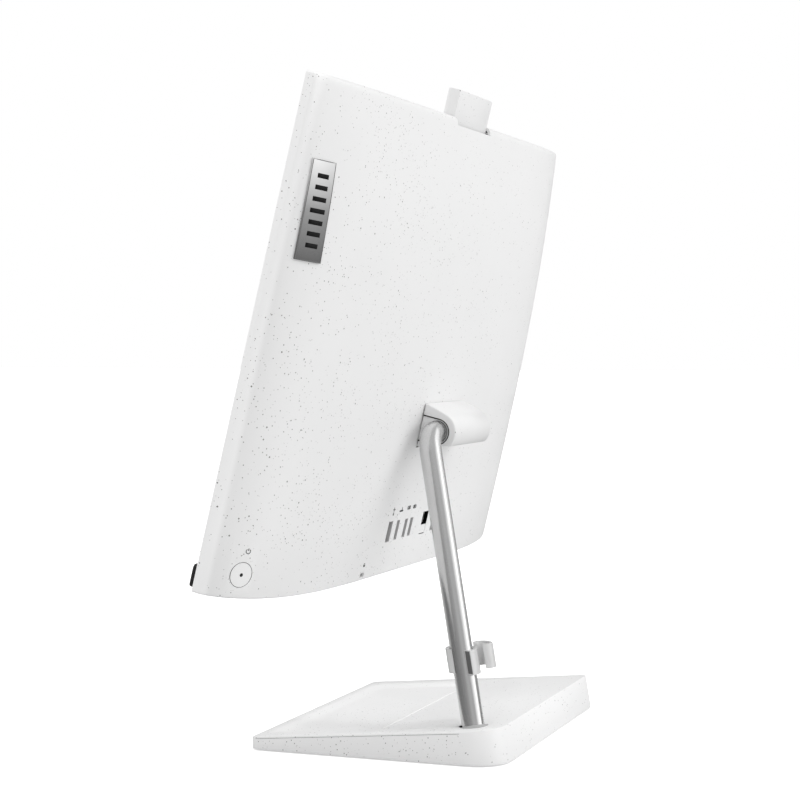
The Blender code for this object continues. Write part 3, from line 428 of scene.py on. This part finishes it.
def skin_of(name):
    """A node's surface, to cast rays at."""
    return BVHTree.FromObject(frame["nodes"][name], bpy.context.evaluated_depsgraph_get())


def in_display(x, depth, height):
    """The point in the frame's axes of a place in the display's coordinates."""
    return DISPLAY @ Vector((x, depth, height))


def on_skin(skin, x, height, lift):
    """The point of a display piece's rear surface at this place, raised by a little."""
    place, normal, _, _ = skin.ray_cast(in_display(x, BEHIND, height), -DISPLAY_BACK)
    return place + normal * lift


def surface_depth(skin, x, height):
    """How deep in the display the piece's rear surface is at this place."""
    return (DISPLAY.inverted() @ on_skin(skin, x, height, 0.0)).y


def piece(name, bm, material, body, thickness=0.0):
    """An object from a mesh in the frame's axes, which rides on a body. A thickness makes a sheet solid."""
    mesh = bpy.data.meshes.new(name)
    bmesh.ops.recalc_face_normals(bm, faces=bm.faces)
    bm.to_mesh(mesh)
    bm.free()
    mesh.materials.append(material)
    mesh.shade_smooth()
    mesh.set_sharp_from_angle(angle=math.radians(SHARP_PIECE_EDGE))
    obj = bpy.data.objects.new(name, mesh)
    bpy.context.scene.collection.objects.link(obj)
    if thickness:
        solid = obj.modifiers.new("thickness", "SOLIDIFY")
        solid.thickness = thickness
        solid.offset = 0.0
    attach(obj, body)
    return obj


def arc(centre, radius, first, last, steps):
    """Points along an arc in a plane, between two directions in degrees."""
    turns = (math.radians(first + (last - first) * i / steps) for i in range(steps + 1))
    return [Vector((centre[0] + radius * math.cos(a), centre[1] + radius * math.sin(a))) for a in turns]


def corners(x, middle, half, tall):
    """The corners of a rectangle round (x, middle), from half its width and half its height."""
    return [
        (x - half, middle - tall),
        (x + half, middle - tall),
        (x + half, middle + tall),
        (x - half, middle + tall),
    ]


def disc_rings(origin, out, profile, sides=32):
    """Rings of points in the display's upright plane, from (radius, how far out) pairs."""
    rings = []
    for radius, far in profile:
        turns = [2 * math.pi * i / sides for i in range(sides)]
        around = [ACROSS * (radius * math.cos(a)) + DISPLAY_UP * (radius * math.sin(a)) for a in turns]
        rings.append([origin + offset + out * far for offset in around])
    return rings


def add_line(bm, points, width, lay):
    """A flat line along points in a plane, each corner laid on the surface by the function lay."""
    points = [a.lerp(b, i / 4) for a, b in zip(points, points[1:]) for i in range(4)] + [points[-1]]
    closed = (points[0] - points[-1]).length < 1e-7
    pairs = []
    for i, point in enumerate(points):
        before = points[i - 1] if i else (points[-2] if closed else point)
        after = points[i + 1] if i + 1 < len(points) else (points[1] if closed else point)
        run = (after - before).normalized()
        side = Vector((-run.y, run.x)) * width / 2
        pairs.append((bm.verts.new(lay(point + side)), bm.verts.new(lay(point - side))))
    for (a, b), (c, d) in zip(pairs, pairs[1:]):
        bm.faces.new((a, b, d, c))


def add_bar(bm, start, end, width, lay):
    """A straight line between two points."""
    add_line(bm, [Vector(start), Vector(end)], width, lay)


def add_disc(bm, centre, radius, lay, sides=24):
    """A flat disc, laid on the surface by the function lay."""
    rim = arc(centre, radius, 0, 360, sides)[:-1]
    bm.faces.new([bm.verts.new(lay(point)) for point in rim])


def join_loops(bm, near, far):
    """A band of faces between two closed loops of points with as many points."""
    for i in range(len(near)):
        j = (i + 1) % len(near)
        bm.faces.new((near[i], near[j], far[j], far[i]))


def add_frame(bm, rings):
    """A closed sleeve through rings of points: each is joined to the next, and the last to the first."""
    loops = [[bm.verts.new(point) for point in ring] for ring in rings]
    for near, far in zip(loops, loops[1:] + loops[:1]):
        join_loops(bm, near, far)


def add_block(bm, near, far):
    """A solid block between two rings of points with as many points."""
    near, far = ([bm.verts.new(point) for point in ring] for ring in (near, far))
    join_loops(bm, near, far)
    bm.faces.new(near[::-1])
    bm.faces.new(far)


def make_marks(dark_tone):
    """Plain marks on the rear cover: by the button, above each of the upper sockets and by the lock slot."""
    skin = skin_of("rear_cover")

    def lay(point):
        return on_skin(skin, point.x, point.y, MARK_LIFT)

    # The power mark: an open ring with a stem
    x, height = 0.2520, 0.0323
    bm = bmesh.new()
    add_line(bm, arc((x, height), 0.0015, 125, 415, 14), 0.00045, lay)
    add_bar(bm, (x, height + 0.0004), (x, height + 0.0020), 0.0005, lay)
    piece("power_mark", bm, dark_tone, "display", MARK_THICKNESS)

    bm = bmesh.new()
    # A stem with a bar across it and a round foot
    x, height = 0.0568, 0.0492
    add_bar(bm, (x, height - 0.0026), (x, height + 0.0026), 0.0007, lay)
    add_bar(bm, (x - 0.0021, height + 0.0009), (x + 0.0021, height + 0.0009), 0.0007, lay)
    add_disc(bm, (x, height - 0.0026), 0.0010, lay, 12)
    # A long bar with a short one standing on it
    x = 0.0410
    add_bar(bm, (x - 0.0036, height - 0.0012), (x + 0.0036, height - 0.0012), 0.0012, lay)
    add_bar(bm, (x - 0.0012, height - 0.0012), (x - 0.0012, height + 0.0014), 0.0009, lay)
    # Two pairs of rings, each with a stem between them
    for x in (0.0250, 0.0130):
        for shift in (-0.0019, 0.0019):
            add_line(bm, arc((x + shift, height), 0.0011, 0, 360, 12), 0.0008, lay)
        add_bar(bm, (x, height - 0.0018), (x, height + 0.0018), 0.0006, lay)
    # A closed lock
    x, height = 0.094, 0.0125
    add_line(bm, arc((x, height), 0.0011, 0, 180, 8), 0.0004, lay)
    add_bar(bm, (x - 0.0015, height - 0.0007), (x + 0.0015, height - 0.0007), 0.0014, lay)
    piece("socket_marks", bm, dark_tone, "display", MARK_THICKNESS)


def make_button_details(dark_tone):
    """The dark dot in the button's middle, and the dark ring in the gap round it, which is painted shade."""
    dot_radius, gap_radius, gap_width, gap_depth = 0.0012, 0.00829, 0.00034, 0.0004
    low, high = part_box("power_button")
    centre = (low + high) / 2
    skin = skin_of("power_button")
    side = PRESS.cross(DISPLAY_UP).normalized()
    rise = side.cross(PRESS).normalized()
    face, _, _, _ = skin.ray_cast(centre - PRESS * BEHIND, PRESS)

    def on_button(point):
        start = face - PRESS * 0.01 + side * point.x + rise * point.y
        place, _, _, _ = skin.ray_cast(start, PRESS)
        return place - PRESS * MARK_LIFT

    def in_gap(point):
        return face + PRESS * gap_depth + side * point.x + rise * point.y

    bm = bmesh.new()
    add_disc(bm, (0, 0), dot_radius, on_button)
    piece("button_dot", bm, dark_tone, "power_button", MARK_THICKNESS)
    # Painted shade: a dark ring laid at the bottom of the gap round the button
    bm = bmesh.new()
    add_line(bm, arc((0, 0), gap_radius, 0, 360, 64), gap_width, in_gap)
    piece("button_gap_shade", bm, dark_tone, "display", 0.0001)


def make_badge_marks(dark_tone, rim):
    """A row of plain bars inlaid in the badge, shorter towards its two ends, and its fine dark edge."""
    count, edge_inset, edge_width = 7, 0.0005, 0.0005
    low, high = display_box("badge_plate")
    skin = skin_of("badge_plate")
    middle, centre = (low.x + high.x) / 2, (low.z + high.z) / 2
    wide, tall = high.x - low.x, high.z - low.z

    def lay(point):
        return on_skin(skin, point.x, point.y, INLAY_LIFT)

    bm = bmesh.new()
    pitch = tall * 0.80 / count
    for i in range(count):
        place = i - (count - 1) / 2
        height = centre + place * pitch
        half = wide * (0.29 - 0.02 * abs(place))
        add_bar(bm, (middle - half, height), (middle + half, height), pitch * 0.40, lay)
    piece("badge_bars", bm, dark_tone, "display", INLAY_THICKNESS)

    bm = bmesh.new()
    outline = corners(middle, centre, wide / 2 - edge_inset, tall / 2 - edge_inset)
    add_line(bm, [Vector(corner) for corner in outline + outline[:1]], edge_width, lay)
    piece("badge_edge", bm, rim, "display", INLAY_THICKNESS)


def make_hinge_seam(dark_tone):
    """The dark lining of the seam between the hinge's hood and its end cap."""
    low, high = display_box("hinge_end_cap")
    radius = (high.z - low.z) / 2 + 0.00035
    outline = arc((HINGE_DEPTH, HINGE_HEIGHT), radius, 90, -90, 40)
    outline = [Vector((low.y, outline[0].y))] + outline + [Vector((low.y, outline[-1].y))]
    bm = bmesh.new()
    add_line(bm, outline, 0.00105, lambda point: in_display(high.x + 0.0001, point.x, point.y))
    piece("hinge_seam", bm, dark_tone, "display", 0.0006)


def make_hood_shadow_line(dark_tone):
    """A dark line on the rear cover just under the hinge's hood: a painted shadow where the hood meets the
    cover.
    """
    inset, below, width = 0.001, 0.0005, 0.0009
    low, high = display_box("hinge_hood")
    skin = skin_of("rear_cover")

    def lay(point):
        return on_skin(skin, point.x, point.y, INLAY_LIFT)

    bm = bmesh.new()
    add_bar(bm, (low.x + inset, low.z - below), (high.x - inset, low.z - below), width, lay)
    # Painted shadow under the hood's lower edge
    piece("hood_shadow_line", bm, dark_tone, "display", INLAY_THICKNESS)


def make_sleeve(name, skin, place, inner_depth, material, wall=0.00022):
    """A thin lining for an opening in the rear cover, from a depth inside it out to the cover's skin."""
    clearance, beside, sunk = 0.00003, 0.0006, 0.00012
    x, middle, half, tall = place
    rings = []
    for inset, flush in ((clearance, False), (clearance, True), (wall, True), (wall, False)):
        ring = []
        for cx, cz in corners(x, middle, half - inset, tall - inset):
            depth = inner_depth
            if flush:
                skin_x = x + math.copysign(half + beside, cx - x)
                skin_height = middle + math.copysign(tall + beside, cz - middle)
                depth = surface_depth(skin, skin_x, skin_height) - sunk
            ring.append(in_display(cx, depth, cz))
        rings.append(ring)
    bm = bmesh.new()
    add_frame(bm, rings)
    piece(name, bm, material, "display")


def box_piece(name, low, high, material, round_off=0.0):
    """A block of the display between two corners, given in the display's coordinates."""
    bm = bmesh.new()
    bmesh.ops.create_cube(bm, size=1.0)
    for vert in bm.verts:
        vert.co = in_display(*(low[i] + (high[i] - low[i]) * (vert.co[i] + 0.5) for i in range(3)))
    made = piece(name, bm, material, "display")
    if round_off:
        edge = made.modifiers.new("edges", "BEVEL")
        edge.width = round_off
        edge.segments = 3


def make_port_details(skin, metal, lining):
    """The linings of the upright sockets, and the rows of contacts in them."""
    root, tip, off_centre, half_wide, half_tall = 0.0075, 0.0015, 0.000985, 0.000065, 0.0003
    face = display_box("usb_port_1")[1].y
    for name, place in PORT_OPENINGS.items():
        make_sleeve(name + "_lining", skin, place, face + 0.0001, lining)
    bm = bmesh.new()
    for name, (x, middle, _, tall) in PORT_OPENINGS.items():
        count = 9 if name == "hdmi_port" else 4
        for i in range(count):
            height = middle + (i - (count - 1) / 2) * (tall * 1.5 / count)
            outline = corners(x + off_centre, height, half_wide, half_tall)
            add_block(bm, *([in_display(a, face - back, b) for a, b in outline] for back in (root, tip)))
    piece("socket_contacts", bm, metal, "display")


def make_lan_details(skin, white, dark_tone, metal):
    """The lining of the network socket's upper part, the white flap in its lower part, and its contacts."""
    x, half = -0.0172, 0.0060
    face = display_box("lan_port")[1].y
    back = face + 0.0001
    make_sleeve("lan_lining", skin, (x, 0.03790, half, 0.00508), back, dark_tone, 0.00045)
    outer = surface_depth(skin, x + half + 0.0012, 0.029)
    left, right = x - half + 0.0003, x + half - 0.0003
    box_piece("lan_flap", (left, back, 0.0256), (right, outer - 0.0002, 0.0325), white, 0.0004)
    box_piece("lan_flap_foot", (left, back, 0.02515), (right, outer - 0.0004, 0.02545), dark_tone)
    count, pitch, half = 8, 0.00102, 0.0002
    root, tip = (face - 0.012, 0.0415), (face - 0.003, 0.0380)
    bm = bmesh.new()
    for i in range(count):
        middle = x + (i - (count - 1) / 2) * pitch
        places = ((middle - half, root), (middle + half, root), (middle + half, tip), (middle - half, tip))
        bm.faces.new([bm.verts.new(in_display(side, *end)) for side, end in places])
    piece("lan_contacts", bm, metal, "display", 0.0002)


def make_inlet_ring(metal):
    """The metal ring round the power inlet's opening."""
    centre = in_display(-0.056, display_box("power_inlet")[1].y, PORT_ROW)
    profile = ((0.0037, 0.0), (0.0037, 0.0006), (0.0044, 0.0006), (0.0044, 0.0))
    bm = bmesh.new()
    add_frame(bm, disc_rings(centre, DISPLAY_BACK, profile))
    piece("inlet_ring", bm, metal, "display")


def make_tube_foot(white, dark_tone):
    """The dark gasket round the tube at the base, under a white collar that hugs it at its two sides in X."""
    # For each ring: how far from the axis to the front and to the side, and how far below the base's surface
    gasket_in, gasket_out = (0.0082, 0.0082), (0.0107, 0.0107)
    gasket = ((*gasket_in, 0.0016), (*gasket_in, 0.0003), (*gasket_out, 0.0003), (*gasket_out, 0.0016))
    collar_in, collar_out = (0.0083, 0.0104), (0.0109, 0.0109)
    collar = ((*collar_in, 0.0002), (*collar_in, 0.0), (*collar_out, 0.0), (*collar_out, 0.0002))
    count, beside = 48, 0.0125
    shell = skin_of("base_cover")
    side = (Vector((0, 1, 0)) - TUBE_UP * TUBE_UP.y).normalized()
    front = side.cross(TUBE_UP)
    _, socket_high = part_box("tube_socket")
    foot = tube_axis_at(socket_high.z)

    def surface_rise(way):
        place, _, _, _ = shell.ray_cast(foot + way * beside + TUBE_UP * 0.05, -TUBE_UP)
        return (place - foot).dot(TUBE_UP)

    rises = [surface_rise(way) for way in (side, -side, front, -front)]
    slope_side = (rises[0] - rises[1]) / (2 * beside)
    slope_front = (rises[2] - rises[3]) / (2 * beside)
    middle = sum(rises) / 4

    def ring(reach_front, reach_side, sink):
        """An oval round the tube, in the base's surface there or sunk below it."""
        made = []
        for i in range(count):
            turn = 2 * math.pi * i / count
            ahead, aside = reach_front * math.cos(turn), reach_side * math.sin(turn)
            rise = middle + slope_front * ahead + slope_side * aside - sink
            made.append(foot + front * ahead + side * aside + TUBE_UP * rise)
        return made

    bm = bmesh.new()
    add_frame(bm, [ring(*place) for place in gasket])
    piece("tube_gasket", bm, dark_tone, "stand")
    bm = bmesh.new()
    add_frame(bm, [ring(*place) for place in collar])
    piece("tube_collar", bm, white, "stand")


def tube_axis_at(height):
    """The point on the straight tube's axis at a height, from the tube's lowest points slid along it."""
    verts = frame["nodes"]["stand_tube"].data.vertices
    lowest = min(vert.co.z for vert in verts)
    foot = [vert.co for vert in verts if vert.co.z < lowest + 0.012]
    level = [point - TUBE_UP * (point.z - height) / TUBE_UP.z for point in foot]
    low = Vector(min(point[i] for point in level) for i in range(3))
    high = Vector(max(point[i] for point in level) for i in range(3))
    return (low + high) / 2


def make_base_rim(dark_tone):
    """The fine dark line round the upper edge of the base's side, at the foot of the tray's rim."""
    inset, drop, reach, steps, width = 0.0030, 0.0011, 0.05, 28, 0.00032
    low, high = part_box("base_cover")
    shell = skin_of("base_cover")
    first, last = low.y + 0.004, high.y - 0.030
    points = []
    for i in range(steps + 1):
        y = first + (last - first) * i / steps
        crown, _, _, _ = shell.ray_cast(Vector((high.x - inset, y, high.z + reach)), Vector((0, 0, -1)))
        points.append(Vector((y, crown.z - drop)))

    def lay(point):
        face, normal, _, _ = shell.ray_cast(Vector((high.x + reach, point.x, point.y)), Vector((-1, 0, 0)))
        return face + normal * INLAY_LIFT

    bm = bmesh.new()
    add_line(bm, points, width, lay)
    piece("base_rim_line", bm, dark_tone, "stand", MARK_THICKNESS)


def make_clip_jaw_shade(dark, pale):
    """Thin grey blocks on the flat ends of the clip's two jaws: painted shade, darker on the first jaw than on
    the second.
    """
    jaw_start, side_inset, end_inset, same = 0.0035, 0.0005, 0.0006, 0.0003
    front = (ACROSS - TUBE_UP * TUBE_UP.x).normalized()
    side = TUBE_UP.cross(front)
    axis = tube_axis_at(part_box("cable_clip")[0].z)
    offsets = [vert.co - axis for vert in frame["nodes"]["cable_clip"].data.vertices]
    local = [Vector((v.dot(front), v.dot(side), v.dot(TUBE_UP))) for v in offsets]
    jaws = [v for v in local if abs(v.y) > jaw_start]
    mouth = max(v.x for v in jaws)
    # Painted shade on the jaws' end faces, dark on one jaw and paler on the other
    for name, sign, material in (("clip_jaw_shade_1", 1, dark), ("clip_jaw_shade_2", -1, pale)):
        end = [v for v in jaws if v.x > mouth - same and v.y * sign > 0]
        inner = min(abs(v.y) for v in end) + side_inset
        outer = max(abs(v.y) for v in end) - side_inset
        outline = []
        for reach, top in ((inner, False), (outer, False), (outer, True), (inner, True)):
            near = [v.z for v in end if abs(abs(v.y) - reach) < side_inset + same]
            height = max(near) - end_inset if top else min(near) + end_inset
            outline.append(axis + side * reach * sign + TUBE_UP * height)
        back, face = ([point + front * (mouth + lift) for point in outline] for lift in (0.00002, 0.00022))
        bm = bmesh.new()
        add_block(bm, back, face)
        piece(name, bm, material, "cable_clip")


def make_camera_details(dark_tone, metal):
    """A metal ring and an inner lens on the pop-up camera's glass, with two holes and a lamp beside it."""
    low, high = display_box("camera_lens")
    housing_face = display_box("camera_housing")[0].y
    height = (low.z + high.z) / 2
    out = -DISPLAY_BACK
    bm = bmesh.new()
    profile = ((0.0040, 0.0), (0.0040, 0.0001), (0.0047, 0.0001), (0.0047, 0.0))
    add_frame(bm, disc_rings(in_display(0, low.y, height), out, profile))
    piece("lens_ring", bm, metal, "camera")
    bm = bmesh.new()
    for x, radius in ((0.0, 0.0016), (0.011, 0.0005), (-0.011, 0.0005), (0.016, 0.0007)):
        centre = in_display(x, housing_face if x else low.y, height)
        add_block(bm, *disc_rings(centre, out, ((radius, 0.00002), (radius, 0.00008)), 16))
    piece("camera_holes", bm, dark_tone, "camera")


# --- studio ------------------------------------------------------------------------------------------------


def add_aimed(name, data, place, direction):
    """An object at a place that looks along a direction."""
    made = bpy.data.objects.new(name, data)
    bpy.context.scene.collection.objects.link(made)
    made.location = place
    made.rotation_mode = "QUATERNION"
    made.rotation_quaternion = direction.to_track_quat("-Z", "Y")
    return made


def make_camera():
    """The camera that was fitted to the photo."""
    data = bpy.data.cameras.new("camera")
    data.lens = CAMERA_LENS
    data.sensor_width = SENSOR
    level = math.cos(CAMERA_PITCH)
    look = Vector((-math.cos(CAMERA_YAW) * level, -math.sin(CAMERA_YAW) * level, math.sin(CAMERA_PITCH)))
    bpy.context.scene.camera = add_aimed("camera", data, CAMERA_PLACE, look)


def round_ramp(tree, turn, stops):
    """Greys all round, from (degrees from +X towards +Y, grey) pairs. A turn of 0 is -180 degrees."""
    made = node(tree, "ShaderNodeValToRGB", None, Fac=turn)
    ramp = made.color_ramp
    ramp.interpolation = "EASE"
    while len(ramp.elements) < len(stops):
        ramp.elements.new(0.5)
    for element, (degrees, value) in zip(ramp.elements, stops):
        element.position = (degrees + 180) / 360
        element.color = (*grey(value), 1.0)
    return made.outputs["Color"]


def make_world():
    """Soft white light from all round, dimmer from -Y, and the darker stretches that metal mirrors."""
    world = bpy.data.worlds.new("studio")
    bpy.context.scene.world = world
    world.use_nodes = True
    tree = world.node_tree
    tree.nodes.clear()
    direction = node(tree, "ShaderNodeTexCoord").outputs["Generated"]
    split = node(tree, "ShaderNodeSeparateXYZ", None, Vector=direction)
    turn = maths(tree, "ARCTAN2", split.outputs["Y"], split.outputs["X"])
    turn = maths(tree, "MULTIPLY_ADD", turn, 1 / (2 * math.pi), 0.5)
    soft = round_ramp(tree, turn, ((-180, 0.80), (-90, 0.45), (0, 0.70), (90, 1.38), (180, 0.80)))
    front = ((-150, 0.22), (-128, 0.75), (-75, 0.22), (0, 0.31), (30, 0.54), (62, 0.46))
    rear = ((84, 1.5), (112, 1.5), (128, 0.14), (152, 0.30), (163, 0.80), (176, 0.22))
    mirrored = round_ramp(tree, turn, front + rear)
    above = step(tree, split.outputs["Z"], 0.15, 0.75)
    soft = mix(tree, above, soft, grey(1.10))
    mirrored = mix(tree, above, mirrored, grey(0.62))
    path = node(tree, "ShaderNodeLightPath")
    light = mix(tree, path.outputs["Is Glossy Ray"], soft, mirrored)
    color = mix(tree, path.outputs["Is Camera Ray"], light, grey(1.0))
    background = node(tree, "ShaderNodeBackground", None, Color=color, Strength=1.0)
    output = node(tree, "ShaderNodeOutputWorld")
    tree.links.new(background.outputs[0], output.inputs["Surface"])


def make_floor():
    """A white floor that the camera sees paler than the light does, so that it lights the object less."""
    bm = bmesh.new()
    bmesh.ops.create_grid(bm, x_segments=8, y_segments=8, size=20.0)
    mesh = bpy.data.meshes.new("floor")
    bm.to_mesh(mesh)
    bm.free()
    made, tree, shader, _ = start_material("floor_paint", 1.0, 0.0, Specular_IOR_Level=0.0)
    seen = node(tree, "ShaderNodeLightPath").outputs["Is Camera Ray"]
    tree.links.new(mix(tree, seen, grey(0.64), grey(0.92)), shader.inputs["Base Color"])
    tree.links.new(maths(tree, "MULTIPLY", seen, 0.5), shader.inputs["Emission Strength"])
    shader.inputs["Emission Color"].default_value = (1, 1, 1, 1)
    mesh.materials.append(made)
    floor = bpy.data.objects.new("floor", mesh)
    bpy.context.scene.collection.objects.link(floor)
    floor.visible_glossy = False


def add_lamp(name, kind, place, target, power, mirrored=False, **settings):
    """A lamp aimed at a target. Shiny surfaces show it only if it is mirrored."""
    data = bpy.data.lights.new(name, kind)
    data.energy = power
    for key, value in settings.items():
        setattr(data, key, value)
    lamp = add_aimed(name, data, place, Vector(target) - Vector(place))
    lamp.visible_glossy = mirrored


def make_studio():
    """A key light behind the display, a fill from the front at +X, and a narrow light on the tray."""
    bpy.context.scene.view_settings.view_transform = "Standard"
    make_world()
    make_floor()
    add_lamp("key", "AREA", (-0.75, 1.25, 1.05), (-0.05, 0, 0.36), 5.6, True, size=1.5)
    add_lamp("side", "AREA", (2.0, -1.5, 1.0), (0.1, 0, 0.2), 4.5, size=1.0)
    cone = {"spot_size": math.radians(19), "spot_blend": 1.0, "shadow_soft_size": 0.08}
    add_lamp("tray", "SPOT", (0.08, 0.45, 0.75), (0, 0, 0.01), 5.4, **cone)


def main():
    make_camera()
    shell, turned_steel = paint_frame()
    # Dark for the marks, and for the painted shade in the button's gap
    dark_tone = flat_colour("dark_ink_and_gap_shade", 0.02, 0.6, Specular_IOR_Level=0.2)
    make_marks(dark_tone)
    make_button_details(dark_tone)
    badge_ink = flat_colour("badge_ink", 0.006, 0.7, Specular_IOR_Level=0.2)
    make_badge_marks(badge_ink, flat_colour("badge_rim", 0.16, 0.5))
    # Black for seams, linings and holes, and for the painted shadow line under the hood
    seam_and_shade_black = flat_colour("seam_and_shade_black", 0.003, 0.9, Specular_IOR_Level=0.1)
    make_hinge_seam(seam_and_shade_black)
    make_hood_shadow_line(seam_and_shade_black)
    gold = drawn_metal("contact_metal", (0.83, 0.66, 0.36), 0.25, DISPLAY_UP)
    cover_skin = skin_of("rear_cover")
    make_port_details(cover_skin, gold, plain_plastic("grey_lining", 0.60, 0.5))
    make_lan_details(cover_skin, shell, seam_and_shade_black, gold)
    make_inlet_ring(gold)
    make_tube_foot(shell, seam_and_shade_black)
    make_base_rim(flat_colour("rim_grey", 0.34, 0.6))
    # The two greys of the painted shade on the clip's jaws
    make_clip_jaw_shade(plain_plastic("clip_jaw_deep_shade", 0.10, 0.6), plain_plastic("clip_jaw_light_shade", 0.58, 0.5))
    make_camera_details(seam_and_shade_black, turned_steel)
    make_studio()


main()
